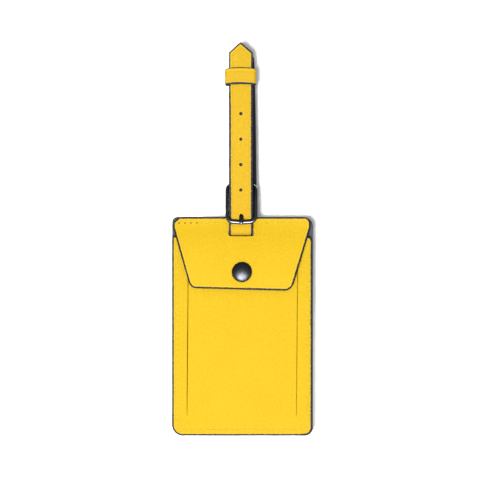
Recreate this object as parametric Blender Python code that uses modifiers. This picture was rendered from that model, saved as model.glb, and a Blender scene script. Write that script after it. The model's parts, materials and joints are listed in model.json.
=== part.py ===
"""Leather luggage tag with a snapped flap, hanging from a buckled strap loop.

Metres, +Z up. The tag's front faces -Y and the strap rises along +Z. Places are measured from the
centre of the slot that the strap passes through, on the tag's rear face. Layers are given by their
depth: the distance in front of the rear face, so a depth d lies at y = -d. The finished tag is then
moved so that its origin is the middle of the strap's inner face, where a bag's handle bears.
"""

import math

import bmesh
import bpy
from mathutils import Matrix, Vector

# Tag
TAG_WIDTH = 0.070
TAG_X = 0.0006                 # the tag's centre line stands a little right of the slot
TAG_TOP = 0.0089
TAG_BOTTOM = -0.0998
TAG_RADII = (0.0053, 0.0040, 0.0045, 0.0025)    # bottom left, bottom right, top right, top left
GLUE = 0.0001                  # gap that stands for a glue line
BACK_RIM = 0.0017              # back panel's thickness round the board
BOARD = 0.0006
BOARD_POCKET = 0.0007
BOARD_INSET = 0.0048
BOARD_TOP = -0.0040
LINING = 0.0005
FRONT_RIM = 0.0014
CARD_POCKET = 0.0004
POCKET_HALF_WIDTH = 0.0300
POCKET_FLOOR = -0.0945
MOUTH = -0.00174
MOUTH_RADIUS = 0.0022
SLIT_FROM_CENTRE = 0.02705
SLIT_WIDTH = 0.0003
SLIT_END = -0.0885

# Card
CARD_SIZE = (0.054, 0.0003, 0.086)
CARD_BOTTOM = -0.0942

# Slot in the tag, and the strap's turn through it
SLOT_HALF_WIDTH = 0.00625
SLOT_LOW = -0.0008
SLOT_HIGH = 0.0027
TURN_RADIUS = 0.0035
TURN_DEPTH = 0.0017
TURN_Z = 0.0036

# Flap
LEATHER = 0.0010
FLAP_LINING = 0.0004
FLAP_HALF_WIDTH = 0.0338
FLAP_SHOULDER = 0.0035
FLAP_CHAMFER = 0.0027
FLAP_BOTTOM = -0.0268
FLAP_BOTTOM_HALF = 0.0252
FLAP_CORNER = 0.0050
FLAP_CREASE = -0.0032
YOKE_END_GAP = 0.0008
SNAP_Z = -0.0184
SNAP_X = 0.0003
SNAP_STAND_OFF = 0.0019        # room for the closed snap between the flap and the pocket
FLAP_RADIUS = 0.068            # the flap bows over the snap
LINING_TOP = -0.0056
LINING_INSET = 0.0006

# Strap
STRAP_WIDTH = 0.0115
STRAP_THICK = 0.0012
STRAP_X = -0.0002
STRAP_TIP = 0.0956
STRAP_SHOULDER = 0.0905
STRAP_SPLIT = 0.0272           # between the throat that flexes and the tail above the buckle
MIDDLE_DEPTH = 0.0038
LOOP_TOP = 0.0868
LOOP_TOP_RADIUS = 0.0026
LOOP_BACK_Y = 0.0030
LOOP_FLAT = (0.042, 0.062)     # straight stretch where a bag's handle bears
LOOP_LEAN = 0.0019             # the rear run leans to the right of the front run
LEAN_FROM = 0.0050             # the lean grows between these heights
LEAN_FULL = 0.0230
LEAN_FADE = 0.0660             # and fades over this length below the top
BEARING_FACE = (0.0010, 0.0024, 0.0520)    # the finished tag's origin, measured from the slot
SEAT_END = 0.0380              # end of the strap's fold above the buckle
HOLE_PITCH = 0.0127
HOLE_COUNT = 5
FIRST_HOLE = 0.0097
HOLE_RADIUS = 0.00075
PRONG_HOLE = (0.0115, 0.00115, 0.0018)    # centre height, half width, half height

# Buckle
BAR_Z = 0.02475
WIRE = 0.00085
FRAME_X = 0.00015
FRAME_HALF_WIDTH = 0.0071
FRAME_LOW_RADIUS = 0.0028
FRAME_HIGH_RADIUS = 0.0022
FOLD_HALF_WIDTH = 0.0042       # the strap is narrowed where it folds round the bar, between the corners
FOLD_REACH = (-0.0050, 0.0006)    # y range that the fold's cutters take
FOLD_DROP = 0.0032             # they start this far below the bar
NOTCH_RISE = 0.0012            # and end this far above it: the notches,
EYE_RISE = 0.0026              # and the slot for the prong's eye
EYE_HALF_WIDTH = 0.00125
LOW_BAR_Z = 0.0066
LOW_BAR_BOW = 0.0005
LOW_BAR_DEPTH = 0.0069
PRONG_WIRE = 0.00045
PRONG_SPREAD = 2.0             # the prong is twice as wide as it is thick
BAR_CLEARANCE = 0.00015

# Keeper
KEEPER_Z = 0.0788
KEEPER_HEIGHT = 0.0082
KEEPER_THICK = 0.0011
KEEPER_X = -0.0003
KEEPER_HALF_WIDTH = 0.0075
KEEPER_PLAY = 0.00025

# Rivet through the strap's fold
RIVET_Z = 0.0340
RIVET_HEAD = 0.0022
RIVET_SHANK = 0.0009

# Thread
THREAD = 0.00025
SEAM_INSET = 0.0028
FLAP_SEAM_Z = 0.0060
FLAP_SEAM_HALF = 0.0315

# Depths that follow
BACK_LINING_DEPTH = BACK_RIM + GLUE
FRONT_DEPTH = BACK_LINING_DEPTH + LINING + GLUE
FRONT_FACE = FRONT_DEPTH + FRONT_RIM
POCKET_DEPTH = FRONT_DEPTH + CARD_POCKET
YOKE_DEPTH = FRONT_DEPTH + LEATHER / 2
CREST_DEPTH = FRONT_FACE + SNAP_STAND_OFF + FLAP_LINING + GLUE + LEATHER / 2
TAIL_DEPTH = TURN_DEPTH + TURN_RADIUS
REAR_RUN_Y = TURN_RADIUS - TURN_DEPTH
WRAP_RADIUS = WIRE + BAR_CLEARANCE + STRAP_THICK / 2
BAR_DEPTH = MIDDLE_DEPTH - WRAP_RADIUS
EYE_RADIUS = WIRE + 0.0001 + PRONG_WIRE

FRONTWARD = Matrix.Rotation(math.radians(90), 4, "X")      # local X, Y, Z to world X, Z, -Y
SIDEWAYS = Matrix(((0, 0, 1, 0), (1, 0, 0, 0), (0, 1, 0, 0), (0, 0, 0, 1)))    # to world Y, Z, X


def clear_scene():
    for obj in list(bpy.data.objects):
        bpy.data.objects.remove(obj, do_unlink=True)


def new_collection(name):
    made = bpy.data.collections.new(name)
    bpy.context.scene.collection.children.link(made)
    return made


def make_material(name, colour, roughness, metallic=0.0):
    material = bpy.data.materials.new(name)
    material.use_nodes = True
    shader = material.node_tree.nodes["Principled BSDF"]
    shader.inputs["Base Color"].default_value = (*colour, 1.0)
    shader.inputs["Roughness"].default_value = roughness
    shader.inputs["Metallic"].default_value = metallic
    return material


# Outlines and paths

def arc(centre, radius, start, end, steps=8):
    """Points on a circle from the angle start to the angle end, in degrees."""
    angles = [math.radians(start + (end - start) * n / steps) for n in range(steps + 1)]
    return [(centre[0] + radius * math.cos(a), centre[1] + radius * math.sin(a)) for a in angles]


def ease(start, end, steps=8):
    """A smooth step between two (y, z) points, vertical at both ends."""
    points = []
    for n in range(steps + 1):
        t = n / steps
        smooth = t * t * (3 - 2 * t)
        points.append((start[0] + (end[0] - start[0]) * smooth, start[1] + (end[1] - start[1]) * t))
    return points


def rounded(corners, steps=5):
    """A closed outline from (x, y, radius) corners, each turned with an arc."""
    outline = []
    for n, (x, y, radius) in enumerate(corners):
        here = Vector((x, y))
        if radius <= 0:
            outline.append((x, y))
            continue
        before = (Vector(corners[n - 1][:2]) - here).normalized()
        after = (Vector(corners[(n + 1) % len(corners)][:2]) - here).normalized()
        half = before.angle(after) / 2
        centre = here + (before + after).normalized() * (radius / math.sin(half))
        spoke = here + before * (radius / math.tan(half)) - centre
        turn = math.pi - 2 * half
        if before.x * after.y > before.y * after.x:
            turn = -turn
        for step in range(steps + 1):
            turned = spoke.copy()
            turned.rotate(Matrix.Rotation(turn * step / steps, 2))
            outline.append(tuple(centre + turned))
    return outline


def strip_outline(path, thickness, nose=False):
    """The closed outline of a strip of even thickness along a centre line, with a round nose if asked."""
    points = [Vector(p) for p in path]
    left, right = [], []
    for n, point in enumerate(points):
        ahead = points[min(n + 1, len(points) - 1)] - points[max(n - 1, 0)]
        across = Vector((-ahead.y, ahead.x)).normalized() * (thickness / 2)
        left.append(point + across)
        right.append(point - across)
    end = []
    if nose:
        spoke = right[0] - points[0]
        for step in range(1, 8):
            turned = spoke.copy()
            turned.rotate(Matrix.Rotation(-math.pi * step / 8, 2))
            end.append(points[0] + turned)
    return [tuple(p) for p in left + right[::-1] + end]


# Objects

class Builder:
    """Makes the object's pieces in one collection and their cutters in another."""

    def __init__(self):
        self.parts = new_collection("luggage_tag")
        self.cutters = new_collection("cutters")

    def link(self, obj, material=None, cutter=False):
        (self.cutters if cutter else self.parts).objects.link(obj)
        if cutter:
            obj.hide_render = True
            obj.display_type = "WIRE"
        else:
            obj.data.materials.clear()
            obj.data.materials.append(material)
        return obj

    def from_curve(self, name, curve, matrix, material=None, cutter=False):
        """The curve as a closed mesh object, its caps welded."""
        drawn = bpy.data.objects.new(name + "_curve", curve)
        bpy.context.scene.collection.objects.link(drawn)
        drawn.matrix_world = matrix
        bpy.context.view_layer.update()
        evaluated = drawn.evaluated_get(bpy.context.evaluated_depsgraph_get())
        mesh = bpy.data.meshes.new_from_object(evaluated)
        welded = bmesh.new()
        welded.from_mesh(mesh)
        bmesh.ops.remove_doubles(welded, verts=welded.verts, dist=1e-6)
        bmesh.ops.recalc_face_normals(welded, faces=welded.faces)
        welded.to_mesh(mesh)
        welded.free()
        mesh.name = name
        obj = bpy.data.objects.new(name, mesh)
        obj.matrix_world = drawn.matrix_world
        bpy.data.objects.remove(drawn, do_unlink=True)
        return self.link(obj, material, cutter)

    def sheet(self, name, outlines, thickness, matrix, material=None, cutter=False):
        """A flat outline, or an outline and its holes, given a thickness either side of its plane."""
        curve = bpy.data.curves.new(name, "CURVE")
        curve.dimensions = "2D"
        curve.fill_mode = "BOTH"
        curve.extrude = thickness / 2
        for outline in outlines:
            spline = curve.splines.new("POLY")
            spline.points.add(len(outline) - 1)
            for point, (x, y) in zip(spline.points, outline):
                point.co = (x, y, 0, 1)
            spline.use_cyclic_u = True
        return self.from_curve(name, curve, matrix, material, cutter)

    def plate(self, name, outlines, depth, thickness, material=None, cutter=False):
        """A sheet parallel to the tag whose rear face lies at the depth."""
        middle = Matrix.Translation((0, -(depth + thickness / 2), 0))
        return self.sheet(name, outlines, thickness, middle @ FRONTWARD, material, cutter)

    def profile(self, name, outline, width, x=0.0, material=None, cutter=False):
        """A (y, z) outline drawn out sideways to a width."""
        return self.sheet(name, [outline], width, Matrix.Translation((x, 0, 0)) @ SIDEWAYS, material, cutter)

    def wire(self, name, points, radius, material, cyclic=False, sides=3):
        """A round wire along world points."""
        curve = bpy.data.curves.new(name, "CURVE")
        curve.dimensions = "3D"
        curve.bevel_depth = radius
        curve.bevel_resolution = sides
        curve.use_fill_caps = not cyclic
        spline = curve.splines.new("POLY")
        spline.points.add(len(points) - 1)
        for point, place in zip(spline.points, points):
            point.co = (*place, 1)
        spline.use_cyclic_u = cyclic
        return smooth(self.from_curve(name, curve, Matrix(), material))

    def box(self, name, low, high, material=None, cutter=False):
        mesh = bpy.data.meshes.new(name)
        cube = bmesh.new()
        bmesh.ops.create_cube(cube, size=1.0)
        size = Vector(high) - Vector(low)
        bmesh.ops.scale(cube, vec=size, verts=cube.verts)
        cube.to_mesh(mesh)
        cube.free()
        obj = bpy.data.objects.new(name, mesh)
        obj.location = (Vector(low) + Vector(high)) / 2
        return self.link(obj, material, cutter)

    def pin(self, name, x, z, radius, depths, segments=16):
        """A cutter: a cylinder along Y between two depths."""
        mesh = bpy.data.meshes.new(name)
        drum = bmesh.new()
        bmesh.ops.create_cone(
            drum, cap_ends=True, segments=segments, radius1=radius, radius2=radius, depth=depths[1] - depths[0]
        )
        drum.to_mesh(mesh)
        drum.free()
        obj = bpy.data.objects.new(name, mesh)
        obj.matrix_world = Matrix.Translation((x, -(depths[0] + depths[1]) / 2, z)) @ FRONTWARD
        return self.link(obj, cutter=True)

    def turned(self, name, profile, x, z, material, steps=28):
        """A round piece on an axis along Y, from (radius, depth) points that run down its outer side."""
        mesh = bpy.data.meshes.new(name)
        closed = profile[0][0] > 0
        edges = [(n, n + 1) for n in range(len(profile) - 1)]
        if closed:
            edges.append((len(profile) - 1, 0))
        mesh.from_pydata([(radius, 0, depth) for radius, depth in profile], edges, [])
        obj = bpy.data.objects.new(name, mesh)
        obj.matrix_world = Matrix.Translation((x, 0, z)) @ FRONTWARD
        screw = obj.modifiers.new("turn", "SCREW")
        screw.steps = steps
        screw.render_steps = steps
        screw.use_merge_vertices = True
        screw.merge_threshold = 1e-6
        screw.use_smooth_shade = True
        return self.link(obj, material)

    def pivot(self, name, place):
        """An empty on a joint's axis, which the moving pieces hang from."""
        empty = bpy.data.objects.new(name, None)
        empty.empty_display_size = 0.005
        empty.location = place
        self.parts.objects.link(empty)
        bpy.context.view_layer.update()
        return empty


def smooth(obj, angle=40):
    obj.data.shade_smooth()
    obj.data.set_sharp_from_angle(angle=math.radians(angle))
    return obj


def cut(target, cutter, operation="DIFFERENCE"):
    boolean = target.modifiers.new(cutter.name, "BOOLEAN")
    boolean.operation = operation
    boolean.object = cutter
    boolean.solver = "EXACT"


def hang(pivot, pieces):
    bpy.context.view_layer.update()
    for piece in pieces:
        piece.parent = pivot
        piece.matrix_parent_inverse = pivot.matrix_world.inverted()


# The tag's shapes

def tag_outline(inset=0.0, top=TAG_TOP, top_radii=None):
    """The tag's outline, moved in by an inset, with its upper edge at a height."""
    left = TAG_X - TAG_WIDTH / 2 + inset
    right = TAG_X + TAG_WIDTH / 2 - inset
    low_left, low_right, high_right, high_left = (max(r - inset, 0.0005) for r in TAG_RADII)
    if top_radii is not None:
        high_right, high_left = top_radii
    return rounded([
        (left, TAG_BOTTOM + inset, low_left),
        (right, TAG_BOTTOM + inset, low_right),
        (right, top, high_right),
        (left, top, high_left),
    ])


def slot_outline():
    return rounded([
        (-SLOT_HALF_WIDTH, SLOT_LOW, 0.0006),
        (SLOT_HALF_WIDTH, SLOT_LOW, 0.0006),
        (SLOT_HALF_WIDTH, SLOT_HIGH, 0.0006),
        (-SLOT_HALF_WIDTH, SLOT_HIGH, 0.0006),
    ], steps=3)


def flap_outline(inset=0.0, top=TAG_TOP):
    """The whole flap seen from the front: chamfered shoulders, sides drawn in, rounded lower corners."""
    half = FLAP_HALF_WIDTH - inset
    low_half = FLAP_BOTTOM_HALF - inset
    bottom = FLAP_BOTTOM + inset
    corner = FLAP_CORNER - inset
    if top < FLAP_SHOULDER:
        drawn_in = (FLAP_SHOULDER - top) / (FLAP_SHOULDER - bottom)
        half_top = half + (low_half - half) * drawn_in
        upper = [(half_top, top, 0), (-half_top, top, 0)]
    else:
        upper = [
            (half, FLAP_SHOULDER, 0.002),
            (half, top - FLAP_CHAMFER, 0),
            (half - FLAP_CHAMFER, top, 0),
            (-half + FLAP_CHAMFER, top, 0),
            (-half, top - FLAP_CHAMFER, 0),
            (-half, FLAP_SHOULDER, 0.002),
        ]
    return rounded([(-low_half, bottom, corner), (low_half, bottom, corner)] + upper)


def bowed_depth(z, offset=0.0):
    """Depth of the flap's mid plane where it bows over the snap."""
    radius = FLAP_RADIUS + offset
    return CREST_DEPTH + offset - (radius - math.sqrt(radius ** 2 - (z - SNAP_Z) ** 2))


def bowed_path(top, bottom, offset=0.0, steps=10):
    heights = [top + (bottom - top) * n / steps for n in range(steps + 1)]
    return [(-bowed_depth(z, offset), z) for z in heights]


def build_tag_body(b, yellow, dark, board):
    slot = b.plate("slot_cutter", [slot_outline()], -0.002, 0.010, cutter=True)

    back = b.plate("back_panel", [tag_outline()], 0.0, BACK_RIM, yellow)
    board_pocket = b.plate(
        "board_pocket_cutter",
        [tag_outline(BOARD_INSET - 0.0003, BOARD_TOP + 0.0003)],
        BACK_RIM - BOARD_POCKET,
        BOARD_POCKET + 0.001,
        cutter=True,
    )
    cut(back, board_pocket)
    cut(back, slot)
    stiffener = b.plate(
        "stiffener_board", [tag_outline(BOARD_INSET, BOARD_TOP)], BACK_RIM - BOARD - GLUE / 2, BOARD, board
    )
    lining = b.plate("back_lining", [tag_outline(0.0003)], BACK_LINING_DEPTH, LINING, dark)
    cut(lining, slot)

    front = b.plate(
        "front_panel",
        [tag_outline(top=MOUTH, top_radii=(MOUTH_RADIUS, MOUTH_RADIUS))],
        FRONT_DEPTH,
        FRONT_RIM,
        yellow,
    )
    card_pocket = b.box(
        "card_pocket_cutter",
        (TAG_X - POCKET_HALF_WIDTH, -POCKET_DEPTH, POCKET_FLOOR),
        (TAG_X + POCKET_HALF_WIDTH, 0.0, MOUTH + 0.002),
        cutter=True,
    )
    cut(front, card_pocket)
    for side, name in ((-1, "left"), (1, "right")):
        middle = TAG_X + side * SLIT_FROM_CENTRE
        slit = b.box(
            f"{name}_slit_cutter",
            (middle - SLIT_WIDTH / 2, -FRONT_FACE - 0.001, SLIT_END),
            (middle + SLIT_WIDTH / 2, 0.0, MOUTH + 0.002),
            cutter=True,
        )
        cut(front, slit)
    countersink = b.pin(
        "post_countersink_cutter", SNAP_X, SNAP_Z, 0.0034, (POCKET_DEPTH - 0.001, POCKET_DEPTH + 0.00045), 28
    )
    cut(front, countersink)
    cut(front, b.pin("post_hole_cutter", SNAP_X, SNAP_Z, 0.0010, (0.0, FRONT_FACE + 0.001)))
    return [back, stiffener, lining, front]


def build_card(b, paper):
    width, thickness, height = CARD_SIZE
    depth = FRONT_DEPTH + 0.00005
    outline = rounded([
        (TAG_X - width / 2, CARD_BOTTOM, 0.0015),
        (TAG_X + width / 2, CARD_BOTTOM, 0.0015),
        (TAG_X + width / 2, CARD_BOTTOM + height, 0.0015),
        (TAG_X - width / 2, CARD_BOTTOM + height, 0.0015),
    ], steps=3)
    return b.plate("address_card", [outline], depth, thickness, paper)


def build_yoke(b, yellow):
    """The flap's fixed strip, sewn on at the top and stepping forward over the pocket's mouth."""
    low = FLAP_CREASE + YOKE_END_GAP
    top = (-YOKE_DEPTH, 0.0068)
    bend = (-bowed_depth(0.0), 0.0)
    slope = (bowed_depth(-0.0005) - bowed_depth(0.0)) / 0.0005
    rise = top[1] - bend[1]
    path = [(-YOKE_DEPTH, TAG_TOP), top]
    for n in range(1, 9):
        t = 1 - n / 8
        y = (
            bend[0] * (2 * t ** 3 - 3 * t ** 2 + 1)
            + slope * rise * (t ** 3 - 2 * t ** 2 + t)
            + top[0] * (3 * t ** 2 - 2 * t ** 3)
        )
        path.append((y, bend[1] + rise * t))
    path += bowed_path(0.0, low, steps=4)[1:]
    yoke = b.profile("flap_yoke", strip_outline(path, LEATHER), 2 * FLAP_HALF_WIDTH, material=yellow)
    cut(yoke, b.plate("yoke_outline_cutter", [flap_outline()], 0.0, 0.010, cutter=True), "INTERSECT")
    cut(yoke, bpy.data.objects["slot_cutter"])
    return yoke


def build_flap(b, yellow, dark):
    path = bowed_path(FLAP_CREASE, FLAP_BOTTOM - 0.001)
    panel = b.profile(
        "flap_panel", strip_outline(path, LEATHER, nose=True), 2 * FLAP_HALF_WIDTH, material=yellow
    )
    outline = b.plate("flap_outline_cutter", [flap_outline()], 0.0, 0.012, cutter=True)
    cut(panel, outline, "INTERSECT")
    hole = b.pin("cap_hole_cutter", SNAP_X, SNAP_Z, 0.0013, (FRONT_FACE, CREST_DEPTH + 0.002))
    cut(panel, hole)

    behind = -(LEATHER / 2 + GLUE + FLAP_LINING / 2)
    lining_path = bowed_path(LINING_TOP, FLAP_BOTTOM - 0.001, behind)
    lining = b.profile(
        "flap_lining", strip_outline(lining_path, FLAP_LINING), 2 * FLAP_HALF_WIDTH, material=dark
    )
    inner = b.plate(
        "lining_outline_cutter", [flap_outline(LINING_INSET, LINING_TOP + 0.001)], 0.0, 0.012, cutter=True
    )
    cut(lining, inner, "INTERSECT")
    cut(lining, hole)
    return [panel, lining]


# The press snap

def build_snap(b, metal):
    flap_face = CREST_DEPTH + LEATHER / 2
    lining_back = CREST_DEPTH - LEATHER / 2 - GLUE - FLAP_LINING
    base = flap_face + 0.0001
    dome = [(0.0, base + 0.0022)]
    for step in range(1, 7):
        lean = math.radians(90 - 15 * step)
        dome.append((0.0050 * math.cos(lean), base + 0.0006 + 0.0016 * math.sin(lean)))
    cap = b.turned("snap_cap", dome + [
        (0.0050, base + 0.0003),
        (0.0047, base),
        (0.0011, base),
        (0.0011, lining_back - 0.0004),
        (0.0, lining_back - 0.0004),
    ], SNAP_X, SNAP_Z, metal, steps=36)

    back = lining_back - 0.0003
    socket = b.turned("snap_socket", [
        (0.0013, back),
        (0.0041, back),
        (0.0041, back - 0.0004),
        (0.0034, back - 0.0005),
        (0.0033, back - 0.0010),
        (0.0024, back - 0.0010),
        (0.0023, back - 0.0004),
        (0.0013, back - 0.0004),
    ], SNAP_X, SNAP_Z, metal)

    seat = FRONT_FACE + 0.0001
    stud = b.turned("snap_stud", [
        (0.0009, seat + 0.0009),
        (0.0016, seat + 0.0009),
        (0.0019, seat + 0.0006),
        (0.0017, seat + 0.0003),
        (0.0034, seat + 0.0002),
        (0.0036, seat),
        (0.0009, seat),
    ], SNAP_X, SNAP_Z, metal)

    flange = POCKET_DEPTH + 0.00005
    post = b.turned("snap_post", [
        (0.0, seat + 0.0008),
        (0.0008, seat + 0.0008),
        (0.0008, flange + 0.0003),
        (0.0031, flange + 0.0003),
        (0.0031, flange),
        (0.0, flange),
    ], SNAP_X, SNAP_Z, metal)
    return [cap, socket], [stud, post]


# Thread

def seam_path(y):
    """The pocket seam: down one side, along the bottom and up the other."""
    left = TAG_X - TAG_WIDTH / 2 + SEAM_INSET
    right = TAG_X + TAG_WIDTH / 2 - SEAM_INSET
    low = TAG_BOTTOM + SEAM_INSET
    high = MOUTH - 0.0015
    turn = 0.0025
    path = [(left, high)]
    path += arc((left + turn, low + turn), turn, 180, 270, 4)
    path += arc((right - turn, low + turn), turn, 270, 360, 4)
    path.append((right, high))
    return [(x, y, z) for x, z in path]


def build_threads(b, thread):
    resting = GLUE + THREAD
    flap_row = [(-FLAP_SEAM_HALF, FLAP_SEAM_Z), (FLAP_SEAM_HALF, FLAP_SEAM_Z)]
    yoke_face = YOKE_DEPTH + LEATHER / 2
    return [
        b.wire("pocket_seam_needle_thread", seam_path(-FRONT_FACE - resting), THREAD, thread, sides=1),
        b.wire("pocket_seam_bobbin_thread", seam_path(resting), THREAD, thread, sides=1),
        b.wire(
            "flap_seam_needle_thread", [(x, -yoke_face - resting, z) for x, z in flap_row], THREAD, thread, sides=1
        ),
        b.wire("flap_seam_bobbin_thread", [(x, resting, z) for x, z in flap_row], THREAD, thread, sides=1),
    ]


# The strap

def lean_rear_run(obj):
    """Shears the strap's rear run sideways: level with the slot and the top, leaning right between them."""
    for vertex in obj.data.vertices:
        place = obj.matrix_world @ vertex.co
        rising = min(max((place.z - LEAN_FROM) / (LEAN_FULL - LEAN_FROM), 0.0), 1.0)
        falling = min(max((LOOP_TOP + 0.004 - place.z) / LEAN_FADE, 0.0), 1.0)
        behind = min(max((place.y - 0.0005) / 0.0006, 0.0), 1.0)
        lean = LOOP_LEAN * rising * rising * (3 - 2 * rising) * math.sqrt(falling) * behind
        vertex.co = obj.matrix_world.inverted() @ (place + Vector((lean, 0, 0)))


def build_strap_loop(b, yellow):
    rear = REAR_RUN_Y
    fold_y = LOOP_TOP_RADIUS - MIDDLE_DEPTH
    path = arc((-TURN_DEPTH, TURN_Z), TURN_RADIUS, 270, 360)
    path += ease((rear, 0.012), (LOOP_BACK_Y, LOOP_FLAT[0]))
    path += ease((LOOP_BACK_Y, LOOP_FLAT[1]), (fold_y + LOOP_TOP_RADIUS, LOOP_TOP))
    path += arc((fold_y, LOOP_TOP), LOOP_TOP_RADIUS, 0, 180, 12)[1:]
    path += arc((-BAR_DEPTH, BAR_Z), WRAP_RADIUS, 180, 360, 12)
    resting = -MIDDLE_DEPTH + STRAP_THICK + 0.0002
    path += ease((-BAR_DEPTH + WRAP_RADIUS, BAR_Z + 0.0006), (resting, BAR_Z + 0.0062), 6)
    path.append((resting, SEAT_END))
    strap = b.profile("strap_loop", strip_outline(path, STRAP_THICK), STRAP_WIDTH, STRAP_X, yellow)
    lean_rear_run(strap)
    eye_room = b.box(
        "eye_slot_cutter",
        (-EYE_HALF_WIDTH, FOLD_REACH[0], BAR_Z - FOLD_DROP),
        (EYE_HALF_WIDTH, FOLD_REACH[1], BAR_Z + EYE_RISE),
        cutter=True,
    )
    cut(strap, eye_room)
    for side, name in ((-1, "left"), (1, "right")):
        edges = sorted((side * FOLD_HALF_WIDTH, side * STRAP_WIDTH))
        notch = b.box(
            f"{name}_fold_notch_cutter",
            (edges[0], FOLD_REACH[0], BAR_Z - FOLD_DROP),
            (edges[1], FOLD_REACH[1], BAR_Z + NOTCH_RISE),
            cutter=True,
        )
        cut(strap, notch)
    front = MIDDLE_DEPTH + STRAP_THICK / 2
    cut(strap, b.pin("rivet_hole_cutter", 0, RIVET_Z, RIVET_SHANK + 0.0002, (0.0010, front + 0.001)))
    cut(strap, b.pin("rivet_sink_cutter", 0, RIVET_Z, RIVET_HEAD + 0.0002, (front - 0.00045, front + 0.001), 24))
    return strap


def build_strap_throat(b, yellow):
    """The stretch that rises from the slot through the buckle."""
    path = arc((-TURN_DEPTH, TURN_Z), TURN_RADIUS, 268, 180) + [(-TAIL_DEPTH, STRAP_SPLIT - 0.0001)]
    throat = b.profile("strap_throat", strip_outline(path, STRAP_THICK), STRAP_WIDTH, STRAP_X, yellow)
    height, half_width, half_height = PRONG_HOLE
    straight = half_height - half_width
    hole = arc((0, height + straight), half_width, 0, 180) + arc((0, height - straight), half_width, 180, 360)
    cut(throat, b.plate("prong_hole_cutter", [hole], TAIL_DEPTH - 0.001, 0.002, cutter=True))
    return throat


def build_strap_tail(b, yellow):
    left = STRAP_X - STRAP_WIDTH / 2
    right = STRAP_X + STRAP_WIDTH / 2
    outline = rounded([
        (left, STRAP_SPLIT, 0),
        (right, STRAP_SPLIT, 0),
        (right, STRAP_SHOULDER, 0.0014),
        (STRAP_X, STRAP_TIP + 0.0003, 0.0010),
        (left, STRAP_SHOULDER, 0.0014),
    ], steps=4)
    return b.plate("strap_tail", [outline], TAIL_DEPTH - STRAP_THICK / 2, STRAP_THICK, yellow)


def punch_strap(b, throat, tail):
    for n in range(1, HOLE_COUNT):
        height = FIRST_HOLE + n * HOLE_PITCH
        reach = (TAIL_DEPTH - 0.001, TAIL_DEPTH + 0.001)
        hole = b.pin(f"strap_hole_{n}_cutter", STRAP_X, height, HOLE_RADIUS, reach, 14)
        cut(throat if height < STRAP_SPLIT else tail, hole)


def build_rivet(b, metal):
    front = MIDDLE_DEPTH + STRAP_THICK / 2
    head = front - 0.00005
    rear = MIDDLE_DEPTH - 1.5 * STRAP_THICK - 0.0002
    post = b.turned("strap_rivet_post", [
        (0.0, head),
        (0.0018, head),
        (RIVET_HEAD, head - 0.00015),
        (RIVET_HEAD, head - 0.0003),
        (RIVET_SHANK, head - 0.0003),
        (RIVET_SHANK, rear - 0.0005),
        (0.0, rear - 0.0005),
    ], 0, RIVET_Z, metal, steps=24)
    cap = b.turned("strap_rivet_cap", [
        (0.0, rear - 0.0006),
        (0.0010, rear - 0.0006),
        (0.0010, rear - 0.0001),
        (0.0024, rear - 0.0001),
        (0.0024, rear - 0.0004),
        (0.0018, rear - 0.0008),
        (0.0, rear - 0.0010),
    ], 0, RIVET_Z, metal, steps=24)
    return [post, cap]


# Keeper and buckle

def build_keeper(b, yellow):
    left = KEEPER_X - KEEPER_HALF_WIDTH
    right = KEEPER_X + KEEPER_HALF_WIDTH
    front = -(TAIL_DEPTH + STRAP_THICK / 2 + KEEPER_PLAY + KEEPER_THICK)
    rear = -(MIDDLE_DEPTH - STRAP_THICK / 2 - KEEPER_PLAY - KEEPER_THICK)
    outer = rounded([(left, front, 0.0016), (right, front, 0.0016), (right, rear, 0.0016), (left, rear, 0.0016)])
    t = KEEPER_THICK
    inner = rounded([
        (left + t, front + t, 0.0005),
        (right - t, front + t, 0.0005),
        (right - t, rear - t, 0.0005),
        (left + t, rear - t, 0.0005),
    ])
    return b.sheet(
        "keeper_loop", [outer, inner], KEEPER_HEIGHT, Matrix.Translation((0, 0, KEEPER_Z)), yellow
    )


def build_frame(b, metal):
    """A wire frame whose upper bar is the hinge and whose lower bar lies in front of the strap."""
    flat = rounded([
        (FRAME_X - FRAME_HALF_WIDTH, LOW_BAR_Z, FRAME_LOW_RADIUS),
        (FRAME_X, LOW_BAR_Z, 0),
        (FRAME_X + FRAME_HALF_WIDTH, LOW_BAR_Z, FRAME_LOW_RADIUS),
        (FRAME_X + FRAME_HALF_WIDTH, BAR_Z, FRAME_HIGH_RADIUS),
        (FRAME_X - FRAME_HALF_WIDTH, BAR_Z, FRAME_HIGH_RADIUS),
    ], steps=6)
    path = []
    for x, z in flat:
        down = (BAR_Z - z) / (BAR_Z - LOW_BAR_Z)
        forward = math.sin(down * math.pi / 2)
        bow = LOW_BAR_BOW * math.cos((x - FRAME_X) / FRAME_HALF_WIDTH * math.pi / 2) * down ** 6
        path.append((x, -(BAR_DEPTH + (LOW_BAR_DEPTH - BAR_DEPTH) * forward), z - bow))
    return b.wire("buckle_frame", path, WIRE, metal, cyclic=True, sides=3)


def build_prong(b, metal):
    """A flat prong with an eye round the hinge bar, bent through the strap and over the lower bar."""
    path = arc((-BAR_DEPTH, BAR_Z), EYE_RADIUS, -100, 180, 16)
    shaft = BAR_DEPTH + EYE_RADIUS
    over_bar = LOW_BAR_DEPTH + WIRE + 0.0001 + PRONG_WIRE
    low_z = LOW_BAR_Z - LOW_BAR_BOW
    path += [(-shaft, 0.0175), (-shaft - 0.0001, 0.0140), (-shaft - 0.0005, 0.0126)]
    path += [(-over_bar + 0.0006, low_z + 0.0019), (-over_bar, low_z + 0.0006), (-over_bar, low_z - 0.0008)]
    prong = b.wire("buckle_prong", [(0, y, z) for y, z in path], PRONG_WIRE, metal, sides=2)
    for vertex in prong.data.vertices:
        vertex.co.x *= PRONG_SPREAD
    return prong


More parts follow.
